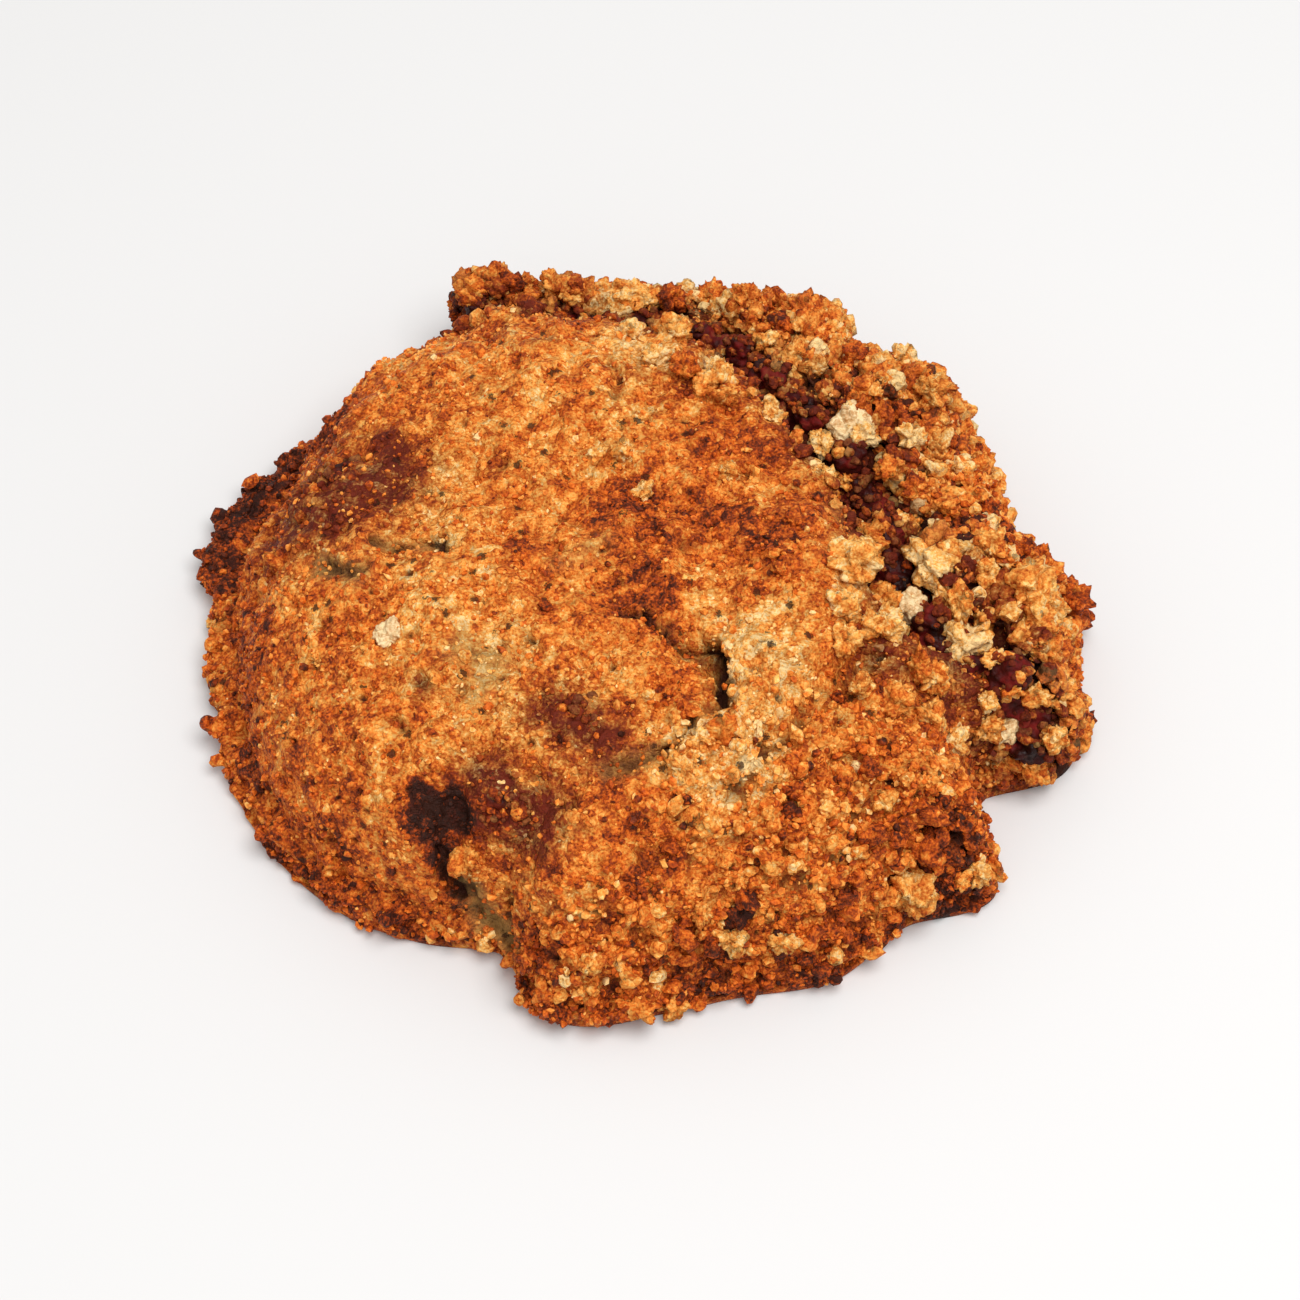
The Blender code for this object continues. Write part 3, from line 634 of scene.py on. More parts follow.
# Painted shade: the crust darkens in its craggy hollows, between the grains, among the crumbs of the stained
# rim, and in pores and cracks.
hollow_shade = smooth((-crag - 0.02) / 0.4) * crumbly
stained_rim_shade = 0.5 * stain * smooth((crumbly - 0.5) / 0.4)
grain_border_shade = 0.3 * smooth((grain_distance - 0.45) / 0.3)
painted_shade = np.clip(np.maximum(painted_shade, PORE_SHADE * pore) + grain_border_shade + 0.9 * hollow_shade + stained_rim_shade, 0, 1)
print("grains lift the crust up to", round(float(lift.max()), 2), "mm")


# %% Close the underside and store the marks
def store(mesh, name, values):
    """Keeps a number for each point of a mesh, for its material to read."""
    kept = mesh.attributes.new(name, "FLOAT", "POINT")
    kept.data.foreach_set("value", np.ascontiguousarray(values, np.float32))


for name, values in (("toast", toast), ("stain", stain), ("raw", raw), ("painted_shade", painted_shade)):
    store(crust_mesh, name, values)
bm = bmesh.new()
bm.from_mesh(crust_mesh)
bmesh.ops.contextual_create(bm, geom=[e for e in bm.edges if e.is_boundary])
bmesh.ops.scale(bm, verts=bm.verts, vec=(MM, MM, MM))
bmesh.ops.recalc_face_normals(bm, faces=bm.faces)
bm.to_mesh(crust_mesh)
bm.free()
crust_mesh.shade_smooth()
crust = linked("crust", crust_mesh)
print("crust has", len(crust_mesh.polygons), "faces")

# %% [markdown]
# ## Shared material effects
# Crust, crumbs and chocolate all show grain, so the grain is one node group: cells for single grains, and
# two sizes of noise. It puts out a colour shift, a mask of painted shade for the gaps and pores, and a height
# for the bump. The baked colours are another group, a ramp from cream through gold and brown to burnt.


# %% Colours
def picture_colour(red, green, blue):
    """A colour given as it shows on a screen, 0 to 255, for a shader."""
    shares = (red / 255, green / 255, blue / 255)
    linear = [s / 12.92 if s <= 0.04045 else ((s + 0.055) / 1.055) ** 2.4 for s in shares]
    return (*linear, 1.0)


BAKED = (
    (0.00, picture_colour(255, 216, 150)),
    (0.15, picture_colour(252, 186, 96)),
    (0.35, picture_colour(243, 149, 58)),
    (0.54, picture_colour(223, 106, 27)),
    (0.72, picture_colour(172, 68, 16)),
    (0.88, picture_colour(100, 40, 14)),
    (1.00, picture_colour(44, 22, 14)),
)
RAW_DOUGH = picture_colour(168, 132, 72)
print("baked colours:", len(BAKED), "stops")


# %% The grain group
def new_group(name, inputs, outputs):
    """A shader node group with number inputs. Its outputs are numbers, apart from one called Color."""
    group = bpy.data.node_groups.new(name, "ShaderNodeTree")
    for label, value in inputs.items():
        socket = group.interface.new_socket(label, in_out="INPUT", socket_type="NodeSocketFloat")
        socket.default_value = value
    for label in outputs:
        kind = "NodeSocketColor" if label == "Color" else "NodeSocketFloat"
        group.interface.new_socket(label, in_out="OUTPUT", socket_type=kind)
    return group, group.nodes.new("NodeGroupInput"), group.nodes.new("NodeGroupOutput")


def put(tree, value, slot):
    """Sets a node's input to a number or a colour, or links a socket to it."""
    if isinstance(value, (int, float, tuple)):
        slot.default_value = value
    else:
        tree.links.new(value, slot)


def added(tree, kind, group=None, **values):
    """A new shader node, or a placed group, with its inputs set or linked by name."""
    node = tree.nodes.new("ShaderNode" + kind)
    if group:
        node.node_tree = group
    for label, value in values.items():
        put(tree, value, node.inputs[label.replace("_", " ")])
    return node


def maths(tree, first, second, operation="ADD", clamp=False):
    """The result of a Math node on two sockets or numbers."""
    node = added(tree, "Math")
    node.operation = operation
    node.use_clamp = clamp
    put(tree, first, node.inputs[0])
    put(tree, second, node.inputs[1])
    return node.outputs[0]


def object_places(tree):
    return added(tree, "TexCoord").outputs["Object"]


def centred(tree, value, amount):
    """A value from 0 to 1 as a swing round zero, times an amount."""
    return maths(tree, maths(tree, value, 0.5, "SUBTRACT"), amount, "MULTIPLY")


SCALES = {"Grain Scale": 1100.0, "Mottle Scale": 420.0, "Pore Scale": 560.0}
grain_group, grain_in, grain_out = new_group("baked_grain", SCALES, ("Shift", "Gap Shade", "Height"))
tree = grain_group
where = object_places(tree)
scales = grain_in.outputs
grains = added(tree, "TexVoronoi", Vector=where, Scale=scales["Grain Scale"])
mottle = added(tree, "TexNoise", Vector=where, Scale=scales["Mottle Scale"], Detail=5.0)
dust = added(tree, "TexNoise", Vector=where, Scale=3400.0, Detail=3.0).outputs["Fac"]
pick = added(tree, "SeparateColor", Color=grains.outputs["Color"])
own = centred(tree, pick.outputs["Red"], 0.30)
mixed = centred(tree, mottle.outputs["Fac"], 0.50)
fine = centred(tree, dust, 1.0)
shift = maths(tree, maths(tree, own, mixed), fine)
put(tree, shift, grain_out.inputs["Shift"])
border = grains.outputs["Distance"]
# Painted shade: the gaps between grains and the pores darken the colour.
gap_shade = added(tree, "MapRange", Value=border, From_Min=0.45, From_Max=0.85, To_Max=0.4)
pores = added(tree, "TexVoronoi", Vector=where, Scale=scales["Pore Scale"])
pore_edge = maths(tree, pores.outputs["Distance"], centred(tree, dust, 0.7))
pore_cut = added(tree, "MapRange", Value=pore_edge, From_Min=0.26, From_Max=0.18)
pore_pick = added(tree, "SeparateColor", Color=pores.outputs["Color"])
some = maths(tree, pore_pick.outputs["Green"], SHARE_WITHOUT_PORE, "GREATER_THAN")
pore_mask = maths(tree, pore_cut.outputs["Result"], some, "MULTIPLY")
put(tree, maths(tree, gap_shade.outputs["Result"], pore_mask, "MAXIMUM"), grain_out.inputs["Gap Shade"])
round_grain = maths(tree, 1.0, border, "SUBTRACT")
height = maths(tree, round_grain, maths(tree, dust, 0.8, "MULTIPLY"))
put(tree, maths(tree, height, pore_mask, "SUBTRACT"), grain_out.inputs["Height"])
print("grain group has", len(grain_group.nodes), "nodes")

# %% The baked colour group
baked_group, baked_in, baked_out = new_group("baked_colour", {"Toast": 0.4, "Raw": 0.0}, ("Color",))


def ramp_of(tree, stops, value):
    """A colour that follows a value along stops of place and colour."""
    ramp = added(tree, "ValToRGB", Fac=value)
    elements = ramp.color_ramp.elements
    for place, colour in stops[1:-1]:
        elements.new(place)
    for element, (place, colour) in zip(elements, stops):
        element.position = place
        element.color = colour
    return ramp.outputs["Color"]


def mixed_colour(tree, factor, first, second):
    node = tree.nodes.new("ShaderNodeMix")
    node.data_type = "RGBA"
    for label, value in (("Factor", factor), ("A", first), ("B", second)):
        put(tree, value, node.inputs[label])
    return node.outputs["Result"]


baked_tone = ramp_of(baked_group, BAKED, baked_in.outputs["Toast"])
greyed = mixed_colour(baked_group, baked_in.outputs["Raw"], baked_tone, RAW_DOUGH)
put(baked_group, greyed, baked_out.inputs["Color"])
print("baked colour group has", len(baked_group.nodes), "nodes")


# %% [markdown]
# ## Materials
# Each material puts the groups together with its own values. Jam soaks into crumb as a dark red stain, and
# gaps, pores and cracks get painted shade; both darken the baked colour. Butter gives the crust a faint soft
# shine.

# %% A baked material
def attribute(tree, name):
    node = added(tree, "Attribute")
    node.attribute_name = name
    return node.outputs["Fac"]


def new_material(name, roughness, specular=None):
    """A material with its node tree and its shader."""
    material = bpy.data.materials.new(name)
    material.use_nodes = True
    tree = material.node_tree
    shader = tree.nodes["Principled BSDF"]
    put(tree, roughness, shader.inputs["Roughness"])
    if specular is not None:
        put(tree, specular, shader.inputs["Specular IOR Level"])
    return material, tree, shader


def bump_up(tree, shader, height, strength, distance):
    """Lets a height tilt the shader's normal. The distance is in metres."""
    bumped = added(tree, "Bump", Height=height, Strength=strength, Distance=distance)
    put(tree, bumped.outputs["Normal"], shader.inputs["Normal"])


STAINED = picture_colour(108, 34, 14)
# The colour of painted shade in gaps, pores, cracks and hollows.
PAINTED_SHADE_COLOUR = picture_colour(58, 24, 10)


def baked_material(name, contrast, bump, roughness, gap_shade_share):
    """Baked dough whose colour follows the toast, stain and rawness kept in the mesh, darkened by painted
    shade.
    """
    material, tree, shader = new_material(name, roughness, 0.16)
    grainy = added(tree, "Group", grain_group).outputs
    scaled = maths(tree, grainy["Shift"], contrast, "MULTIPLY")
    toasted = maths(tree, attribute(tree, "toast"), scaled, "ADD", True)
    baked = added(tree, "Group", baked_group, Toast=toasted, Raw=attribute(tree, "raw"))
    soak = maths(tree, attribute(tree, "stain"), scaled, "ADD", True)
    stained = mixed_colour(tree, soak, baked.outputs["Color"], STAINED)
    # Painted shade: gaps, pores, cracks and hollows mix the colour towards dark brown.
    shade = maths(tree, grainy["Gap Shade"], gap_shade_share, "MULTIPLY")
    shade = maths(tree, shade, attribute(tree, "painted_shade"), "MAXIMUM", True)
    put(tree, mixed_colour(tree, shade, stained, PAINTED_SHADE_COLOUR), shader.inputs["Base Color"])
    bump_up(tree, shader, grainy["Height"], bump, 0.0006)
    return material


crust_finish = baked_material("crust_finish", 1.05, 0.85, 0.62, 0.9)
crumb_finish = baked_material("crumb_finish", 0.9, 0.7, 0.68, 0.6)
grain_finish = baked_material("grain_finish", 0.55, 0.35, 0.6, 0.0)
crust_mesh.materials.append(crust_finish)
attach(crust, "root")
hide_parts("cookie")
print("crust wears", crust_finish.name)


# %% [markdown]
# ## Jam and white chocolate
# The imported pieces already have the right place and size, but they are smooth. A copy of each is merged,
# remeshed into small even faces and then pushed in and out by noise, which gives jam its sticky lumps and
# chocolate its chipped, half melted skin.

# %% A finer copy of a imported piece
def finer_copy(node, name, cell, bumps):
    """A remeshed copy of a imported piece, in metres. Bumps are pairs of pitch and rise in millimetres."""
    bm = bmesh.new()
    bm.from_mesh(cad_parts[node].data)
    bmesh.ops.remove_doubles(bm, verts=bm.verts, dist=1e-6)
    piece = linked(name, made_mesh(bm, name))
    remesh = piece.modifiers.new("even_faces", "REMESH")
    remesh.mode = "VOXEL"
    remesh.voxel_size = cell * MM
    bpy.context.view_layer.update()
    fine = bpy.data.meshes.new_from_object(piece.evaluated_get(bpy.context.evaluated_depsgraph_get()))
    piece.modifiers.clear()
    piece.data = fine
    fine.name = name
    places = mesh_points(fine) / MM
    push = sum(rise * noise_at(places, pitch, 4.0) for pitch, rise in bumps)
    set_points(fine, (places + mesh_normals(fine) * push[:, None]) * MM)
    fine.shade_smooth()
    fine.materials.clear()
    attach(piece, "root")
    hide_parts(node)
    return piece


print("jam and chocolate have", 1 + len(JAM_SPOTS) + len(CHOCOLATES), "packed pieces")

# %% Jam finish
CLOT_STOPS = (0.36, 0.5, 0.6, 0.74)


def jam_material(name, tones, wettest, driest):
    """Cooked fruit: darkest where it is thick and wet, paler and dull where crumb is mixed in."""
    material, tree, shader = new_material(name, wettest, 0.13)
    clots = added(tree, "TexNoise", Vector=object_places(tree), Scale=330.0, Detail=4.0).outputs["Fac"]
    stops = [(place, picture_colour(*tone)) for place, tone in zip(CLOT_STOPS, tones)]
    put(tree, ramp_of(tree, stops, clots), shader.inputs["Base Color"])
    wet = added(tree, "MapRange", Value=clots, From_Min=0.4, From_Max=0.65, To_Min=wettest, To_Max=driest)
    put(tree, wet.outputs["Result"], shader.inputs["Roughness"])
    grainy = added(tree, "Group", grain_group, Grain_Scale=1500.0).outputs
    bump_up(tree, shader, grainy["Height"], 0.45, 0.0003)
    return material


SEAM_TONES = ((32, 10, 7), (64, 14, 10), (110, 22, 18), (136, 68, 44))
SPOT_TONES = ((52, 16, 8), (102, 30, 13), (138, 50, 20), (168, 82, 36))
seam_finish = jam_material("jam_finish", SEAM_TONES, 0.34, 0.8)
spot_finish = jam_material("soaked_jam_finish", SPOT_TONES, 0.5, 0.85)
JAM_CELL, JAM_BUMPS = 0.3, ((2.0, 0.4), (0.9, 0.45), (0.5, 0.3))
jams = []
for node in ("jam_seam", *JAM_SPOTS):
    jam = finer_copy(node, node + "_jam", JAM_CELL, JAM_BUMPS)
    jams.append(jam)
    jam.data.materials.append(seam_finish if node == "jam_seam" else spot_finish)
    print(jam.name, "has", len(jam.data.polygons), "faces")

# %% White chocolate finish
CREAM, TOASTED_CREAM = picture_colour(240, 214, 162), picture_colour(196, 142, 82)
CHIP_CELL, CHIP_BUMPS = 0.16, ((2.0, 0.5), (0.8, 0.42), (0.4, 0.24))
chocolate_finish, tree, shader = new_material("white_chocolate_finish", 0.42)
grainy = added(tree, "Group", grain_group, Grain_Scale=1300.0).outputs
toasted = maths(tree, maths(tree, grainy["Shift"], 2.4, "MULTIPLY"), 0.38, "ADD", True)
put(tree, mixed_colour(tree, toasted, CREAM, TOASTED_CREAM), shader.inputs["Base Color"])
bump_up(tree, shader, grainy["Height"], 0.6, 0.0004)
for node in CHOCOLATES:
    chip = finer_copy(node, node + "_piece", CHIP_CELL, CHIP_BUMPS)
    chip.data.materials.append(chocolate_finish)
    print(chip.name, "has", len(chip.data.polygons), "faces")


# %% [markdown]
# ## Crumbs and grains
# Loose crumbs are broken dough: knobbly, full of holes, never round. A ball pushed about by noise makes one.
# A few shapes are enough for thousands of small grains, because each copy is turned and scaled at random.
# The copies of one kind are joined into one mesh, and each keeps its own toast.

# %% Knobbly shapes
def knob(subdivisions, seed, push):
    """A unit crumb: an icosphere pushed about by noise, as points, faces, and each point's push and tone."""
    bm = bmesh.new()
    bmesh.ops.create_icosphere(bm, subdivisions=subdivisions, radius=0.5)
    shift = Vector((seed * 3.1, seed * 1.7, seed * 0.9))
    pushes, tones = [], []
    for vert in bm.verts:
        out = vert.co.normalized()
        rough = noise.noise(out * 1.3 + shift) + 0.55 * noise.noise(out * 2.9 + shift)
        fine = 0.38 * noise.noise(out * 6.5 + shift) + 0.2 * noise.noise(out * 13.0 + shift)
        vert.co *= 1.0 + push * (rough + fine)
        pushes.append(0.4 * rough + fine)
        tones.append(noise.noise(out * 1.9 - shift))
    points = np.array([vert.co[:] for vert in bm.verts])
    faces = np.array([[vert.index for vert in face.verts] for face in bm.faces])
    bm.free()
    return points, faces, np.array(pushes), np.array(tones)


PATCHY = 0.24
# Amounts of painted shade on each crumb, in its hollows and low down near what it lies on.
HOLLOW_SHADE, LOW_DOWN_SHADE = 0.34, 0.26


def turns(normals, count):
    """Random turns, each of which takes +Z near a surface normal."""
    lean = normals + rng.normal(0, 0.35, (count, 3))
    lean /= np.linalg.norm(lean, axis=1)[:, None]
    side = np.cross(lean, rng.normal(size=(count, 3)))
    side /= np.linalg.norm(side, axis=1)[:, None]
    return np.stack([side, np.cross(lean, side), lean], axis=2)


def joined(name, shapes, places, normals, sizes, sink, marks, material, angular=False):
    """One mesh of many crumbs, each set into the skin beneath it, with its own toast, stain and rawness, and
    painted shade in its hollows and low down. Angular crumbs keep their flat faces."""
    count = len(places)
    kinds = rng.integers(0, len(shapes), count)
    turned = turns(normals, count)
    stretch = rng.uniform(0.75, 1.3, (count, 3)) * sizes[:, None]
    centres = places + normals * (sizes * (0.5 - sink))[:, None]
    points, faces, owners, hollow_shades, tones, start = [], [], [], [], [], 0
    for kind, (shape, sides, pushes, tone) in enumerate(shapes):
        chosen = np.nonzero(kinds == kind)[0]
        local = shape[None] * stretch[chosen][:, None]
        placed = np.einsum("nij,nvj->nvi", turned[chosen], local) + centres[chosen][:, None]
        points.append(placed.reshape(-1, 3))
        starts = start + np.arange(len(chosen)) * len(shape)
        faces.append((sides[None] + starts[:, None, None]).reshape(-1, 3))
        owners.append(np.repeat(chosen, len(shape)))
        hollow_shades.append(np.tile(smooth(-pushes / 0.22), len(chosen)))
        tones.append(np.tile(tone, len(chosen)))
        start += placed.shape[0] * placed.shape[1]
    points, faces, owners = np.concatenate(points), np.concatenate(faces), np.concatenate(owners)
    rise = points[:, 2] - centres[owners][:, 2] + sizes[owners] * 0.4
    low_down = smooth(0.9 - rise / (sizes[owners] * 0.5))
    points[:, 2] = np.maximum(points[:, 2], 0.0)
    mesh = bpy.data.meshes.new(name)
    mesh.from_pydata((points * MM).tolist(), [], faces.tolist())
    store(mesh, "toast", marks["toast"][owners] + PATCHY * np.concatenate(tones))
    store(mesh, "stain", marks["stain"][owners] * (0.75 + 0.25 * low_down))
    store(mesh, "raw", marks["raw"][owners])
    # Painted shade: each crumb darkens in its hollows and low down, where it meets what it lies on.
    store(mesh, "painted_shade", HOLLOW_SHADE * np.concatenate(hollow_shades) + LOW_DOWN_SHADE * low_down)
    mesh.materials.append(material)
    if not angular:
        mesh.shade_smooth()
    piece = linked(name, mesh)
    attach(piece, "root")
    print(name, "has", count, "crumbs and", len(mesh.polygons), "faces")


print("a small knob has", len(knob(2, 0, 0.6)[1]), "faces")

# %% Sample the crust
triangles = np.array([face.vertices[:3] for face in crust_mesh.polygons if len(face.vertices) == 4])
corner = crust_places[triangles]
spread = np.cross(corner[:, 1] - corner[:, 0], corner[:, 2] - corner[:, 0])
area = np.linalg.norm(spread, axis=1)
face_normal = spread / np.maximum(area, 1e-9)[:, None]
face_middle = corner.mean(axis=1)
face_toast, face_stain, face_raw, face_crumbly = flavour(face_middle)
face_bed = smooth(bed[triangles].mean(axis=1) / 2)


def strewn(count, density):
    """Random faces of the crust, picked by area and density."""
    weight = area * density
    return rng.choice(len(area), count, p=weight / weight.sum())


CLEAN_SHARE, CLEAN_IN_STAIN = 0.34, 0.12


def marks_for(picked, toast_shift, toast_spread):
    """Toast, stain and rawness for crumbs that lie on these faces. Clean crumbs took up no jam."""
    count = len(picked)
    by_seam = bell(off_line(seam_line, face_middle[picked]), 8.0)
    clean = rng.random(count) < CLEAN_SHARE + CLEAN_IN_STAIN * face_stain[picked]
    shift = toast_shift + by_seam * np.where(clean, -0.12, rng.choice((0.12, 0.36), count))
    raw = 0.4 * face_raw[picked] + 0.5 * by_seam * clean
    return {
        "toast": np.clip(face_toast[picked] + shift + rng.normal(0, toast_spread, count), 0.02, 0.95),
        "stain": np.where(clean, 0.0, np.clip(face_stain[picked] * rng.uniform(0.9, 1.5, count), 0, 1)),
        "raw": raw * rng.uniform(0, 1, count),
    }


def strew(name, shapes, count, density, size_range, sink, toast, material, angular=False):
    """Crumbs of one kind, strewn on the crust. Sink is a share of the size, toast a shift and a spread."""
    picked = strewn(int(count * few), density)
    sizes = rng.uniform(*size_range, len(picked))
    marks = marks_for(picked, *toast)
    joined(name, shapes, face_middle[picked], face_normal[picked], sizes, sink, marks, material, angular)


few = 1.0
print("the crust has", len(area), "faces to strew crumbs on")

# %% Fine grains and small crumbs
fine_shapes = [knob(1, seed, 0.55) for seed in range(8)]
small_shapes = [knob(2, seed + 20, 0.6) for seed in range(10)]
above = smooth((face_middle[:, 2] - 0.6) / 1.5) * (1 - painted_shade[triangles].mean(axis=1))

density = above * (0.6 + face_crumbly) * (1 - 0.6 * face_bed)
strew("pale_grains", fine_shapes, 9000, density, (0.22, 0.55), 0.38, (-0.12, 0.1), grain_finish, True)
strew("brown_grains", fine_shapes, 9000, density, (0.22, 0.65), 0.38, (0.12, 0.1), grain_finish, True)
density = above * (0.06 + face_crumbly) * (1 - 0.8 * face_bed)
strew("coarse_grains", fine_shapes, 6000, density, (0.45, 1.0), 0.34, (0.0, 0.17), grain_finish, True)
density = above * (0.006 + face_crumbly ** 1.5) * (1 + 1.5 * face_stain) * (1 - face_bed) ** 2
strew("small_crumbs", small_shapes, 2000, density, (0.8, 1.8), 0.30, (-0.02, 0.18), crumb_finish, True)

# %% [markdown]
# ## Large crumbs
# The largest crumbs are what the eye finds first, so each of these is given one by one: a picture point, a
# size in millimetres and a toast. The ray finds the crust under it. Over a bed the crust lies deep, so the
# crumb moves back along the ray, towards the eye, and still shows at its point. Others follow at random
# along the seam and the rim.

# %% Large crumbs one by one: picture point, size, toast
LARGE_CRUMBS = (
    (781, 300, 3.6, 0.42), (770, 342, 1.9, 0.30), (793, 366, 3.4, 0.26), (867, 434, 2.6, 0.06),
    (911, 441, 3.0, 0.08), (931, 451, 2.4, 0.28), (914, 489, 2.8, 0.46), (850, 566, 4.0, 0.20),
    (874, 542, 3.2, 0.34), (938, 566, 4.2, 0.12), (936, 535, 2.2, 0.04), (883, 602, 2.9, 0.36),
    (884, 630, 3.0, 0.20), (945, 606, 2.7, 0.26), (962, 602, 2.4, 0.32), (983, 618, 2.6, 0.22),
    (998, 597, 1.5, 0.10), (960, 647, 3.6, 0.08), (977, 667, 2.4, 0.18), (1026, 584, 3.8, 0.30),
    (1040, 606, 4.2, 0.26), (1034, 628, 3.2, 0.30), (1072, 603, 3.2, 0.68), (1080, 612, 2.2, 0.74),
    (1022, 552, 2.6, 0.66), (1036, 562, 2.4, 0.56), (1049, 649, 2.4, 0.42), (918, 668, 2.4, 0.46),
    (934, 680, 2.4, 0.28), (1008, 690, 2.8, 0.34), (952, 744, 2.2, 0.14), (1030, 768, 3.2, 0.44),
    (930, 368, 2.6, 0.44), (946, 384, 3.0, 0.30), (960, 412, 2.6, 0.36), (631, 335, 2.6, 0.10),
    (657, 360, 2.6, 0.08), (674, 336, 3.0, 0.28), (685, 369, 3.0, 0.56), (718, 378, 2.8, 0.20),
    (726, 396, 2.0, 0.34), (703, 395, 2.0, 0.40), (839, 359, 3.0, 0.34), (822, 318, 3.4, 0.46),
    (806, 332, 2.6, 0.40), (823, 447, 2.2, 0.20), (852, 409, 1.8, 0.10), (863, 398, 2.2, 0.50),
    (772, 418, 1.8, 0.16), (628, 293, 3.0, 0.30), (650, 300, 2.2, 0.24), (573, 293, 2.6, 0.30),
    (600, 300, 2.4, 0.40), (552, 286, 2.2, 0.36), (520, 284, 2.4, 0.36), (493, 284, 2.8, 0.44),
    (476, 296, 2.6, 0.50), (540, 296, 2.0, 0.30), (674, 290, 2.2, 0.70), (710, 298, 2.4, 0.44),
    (745, 300, 2.6, 0.40), (733, 935, 2.8, 0.22), (700, 912, 2.2, 0.36), (640, 1010, 2.2, 0.42),
    (675, 1006, 2.0, 0.40), (590, 962, 2.2, 0.34), (606, 952, 1.9, 0.38), (784, 936, 2.2, 0.18),
    (905, 888, 3.4, 0.28), (918, 902, 2.2, 0.34), (975, 870, 2.4, 0.16), (960, 880, 2.0, 0.40),
    (467, 858, 2.4, 0.40), (480, 870, 1.8, 0.34), (642, 495, 1.9, 0.16), (624, 450, 1.8, 0.26),
    (596, 456, 1.6, 0.20), (728, 474, 1.8, 0.24), (700, 742, 2.0, 0.20), (680, 770, 2.4, 0.24),
    (846, 610, 2.4, 0.22), (840, 640, 2.2, 0.26), (862, 690, 2.4, 0.30), (894, 700, 2.6, 0.36),
    (930, 720, 2.4, 0.30), (985, 728, 2.2, 0.28), (1000, 760, 2.4, 0.36), (1066, 690, 2.4, 0.34),
    (1080, 730, 2.4, 0.40), (1052, 740, 2.0, 0.28), (995, 662, 2.0, 0.20), (1038, 694, 2.2, 0.30),
    (984, 702, 2.0, 0.14), (995, 545, 2.6, 0.34), (985, 575, 2.4, 0.30), (900, 521, 1.3, 0.20),
    (913, 526, 1.8, 0.42), (890, 470, 1.9, 0.50), (846, 478, 1.8, 0.40),
)
HAND_SIZE = 1.08
RISE_OVER_BED = 0.55
crust_tree = tree_of(crust_mesh)
spots = [first_hit(crust_tree, MM, *crumb[:2]) for crumb in LARGE_CRUMBS]
hand_places = np.array([spot[0] for spot in spots])
hand_normals = np.array([spot[1] for spot in spots])
hand_normals[:, 2] = np.abs(hand_normals[:, 2]) + 0.3
hand_normals /= np.linalg.norm(hand_normals, axis=1)[:, None]
bed_below = bed[[int(np.argmin(np.linalg.norm(base_places - p, axis=1))) for p in hand_places]]
to_eye = np.array(EYE) - hand_places
hand_places += to_eye * (RISE_OVER_BED * bed_below / to_eye[:, 2])[:, None]
hand_sizes = np.array([crumb[2] for crumb in LARGE_CRUMBS]) * HAND_SIZE
hand_toast = np.array([crumb[3] for crumb in LARGE_CRUMBS])
hand_marks = {
    "toast": hand_toast,
    "stain": np.where(hand_toast < 0.25, 0.0, rng.uniform(0, 0.25, len(hand_toast))),
    "raw": np.zeros(len(hand_toast)),
}
large_shapes = [knob(4, seed + 50, 0.75) for seed in range(14)]
joined("large_crumbs", large_shapes, hand_places, hand_normals, hand_sizes, 0.30, hand_marks, crumb_finish)

# %% More crumbs along the seam and the rim
middle_shapes = [knob(3, seed + 80, 0.7) for seed in range(12)]
high_up = smooth((face_middle[:, 2] - 4) / 4)
density = above * high_up * (0.002 + face_crumbly ** 3) * (1 - face_bed) ** 2
strew("middle_crumbs", middle_shapes, 400, density, (1.5, 2.7), 0.32, (-0.04, 0.17), crumb_finish)

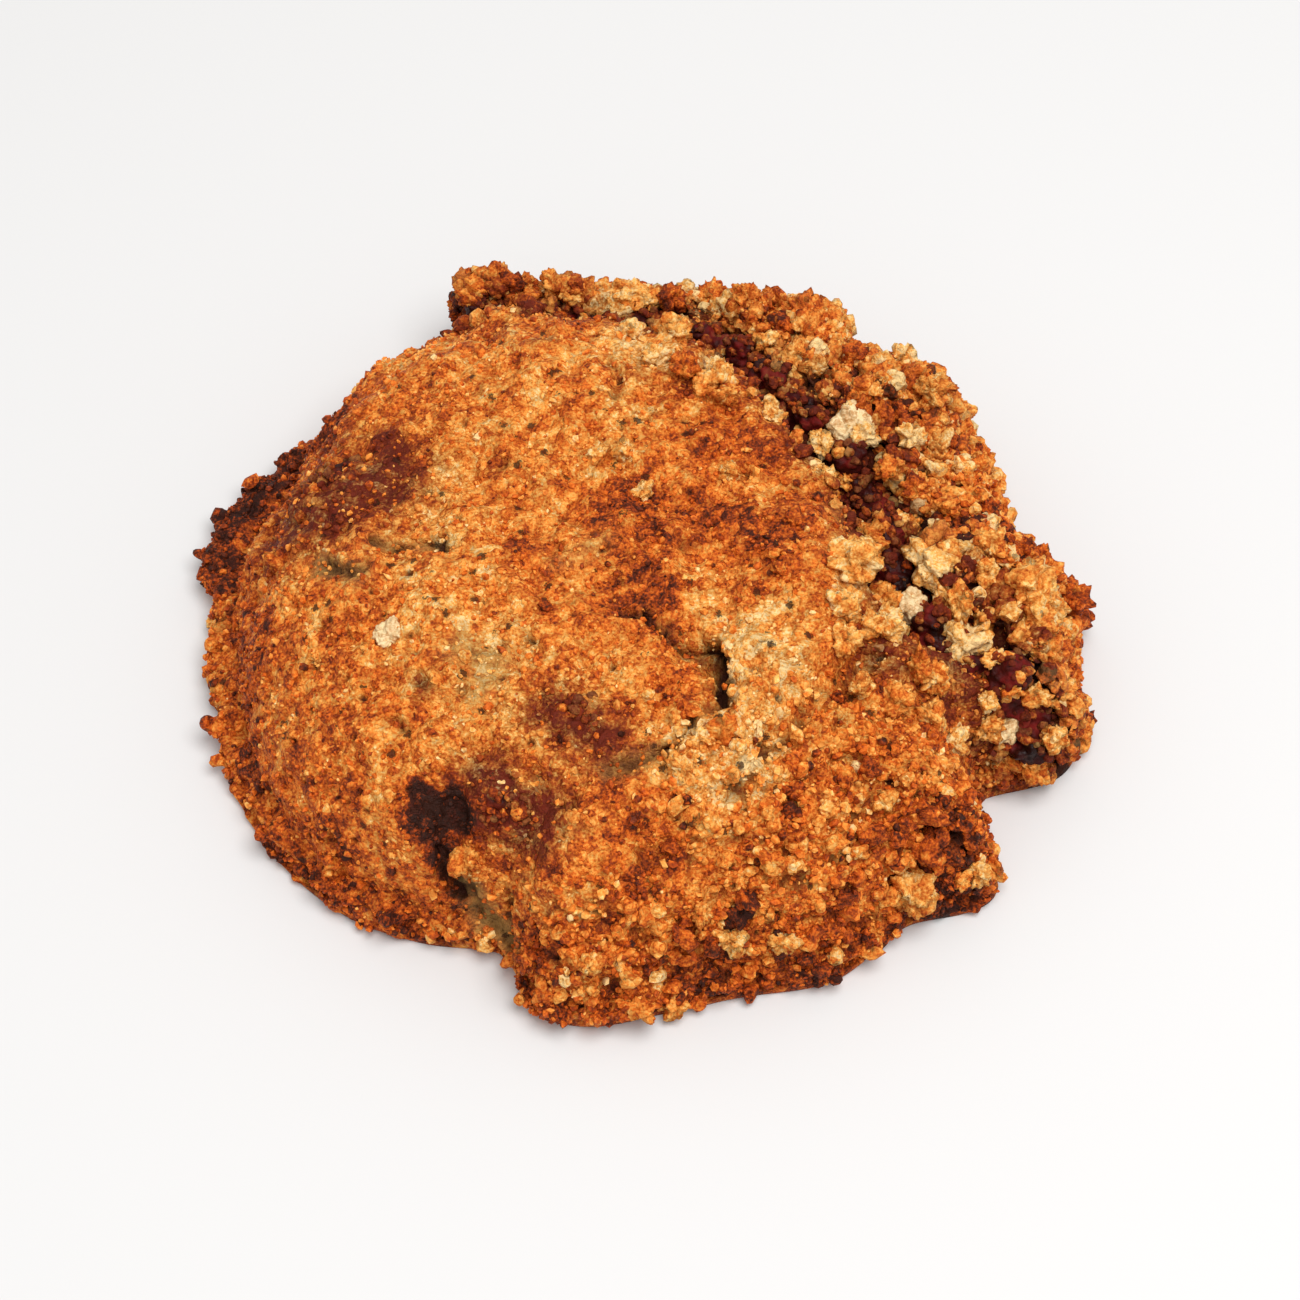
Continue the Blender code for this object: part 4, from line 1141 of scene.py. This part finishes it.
# %% Crumbs stuck on the jam
CRUMBS_ON_JAM = (760, 110, 90, 70)
picked, start = [], 0
for jam, count in zip(jams, CRUMBS_ON_JAM):
    upper = np.nonzero(mesh_normals(jam.data)[:, 2] > 0.4)[0] + start
    picked.append(rng.choice(upper, count))
    start += len(jam.data.vertices)
picked = np.concatenate(picked)
jam_points = np.concatenate([mesh_points(jam.data) / MM for jam in jams])
jam_normals = np.concatenate([mesh_normals(jam.data) for jam in jams])
sizes = rng.uniform(0.3, 1.25, len(picked))
stuck = {
    "toast": rng.uniform(0.35, 0.95, len(picked)),
    "stain": rng.choice((0.1, 0.75, 1.0), len(picked), p=(0.1, 0.25, 0.65)),
    "raw": rng.choice((0.0, 0.6), len(picked), p=(0.75, 0.25)),
}
joined("jam_crumbs", small_shapes, jam_points[picked], jam_normals[picked], sizes, 0.35, stuck, crumb_finish)

# %% [markdown]
# ## Floor and light
# The cookie lies on a plain pale floor under very soft light, so its shadows are faint. A wide lamp high up
# to the front right gives the grains their small highlights, and the bright surroundings fill the rest.

# %% Floor
FLOOR_HALF, FLOOR_DROP = 3.0, 0.0001
bm = bmesh.new()
bmesh.ops.create_grid(bm, x_segments=1, y_segments=1, size=FLOOR_HALF)
floor_mesh = made_mesh(bm, "floor")
floor_mesh.transform(Matrix.Translation((0, 0, -FLOOR_DROP)))
floor = linked("floor", floor_mesh)
floor_finish, tree, shader = new_material("floor_finish", 0.9, 0.1)
put(tree, picture_colour(219, 218, 217), shader.inputs["Base Color"])
floor_mesh.materials.append(floor_finish)
print("floor is", 2 * FLOOR_HALF, "m wide")

# %% Light
world = bpy.data.worlds.new("soft_room")
bpy.context.scene.world = world
world.use_nodes = True
background = world.node_tree.nodes["Background"]
background.inputs["Color"].default_value = (1.0, 1.0, 1.0, 1.0)
background.inputs["Strength"].default_value = 0.67
lamp = bpy.data.lights.new("softbox", "AREA")
lamp.shape = "DISK"
lamp.size = 0.5
lamp.energy = 3.7
softbox = linked("softbox", lamp)
softbox.location = (0.14, -0.14, 0.64)
softbox.rotation_euler = softbox.location.to_track_quat("Z", "Y").to_euler()
bpy.context.scene.view_settings.view_transform = "Standard"
print("softbox hangs", round(softbox.location.length * 1000), "mm from the cookie")
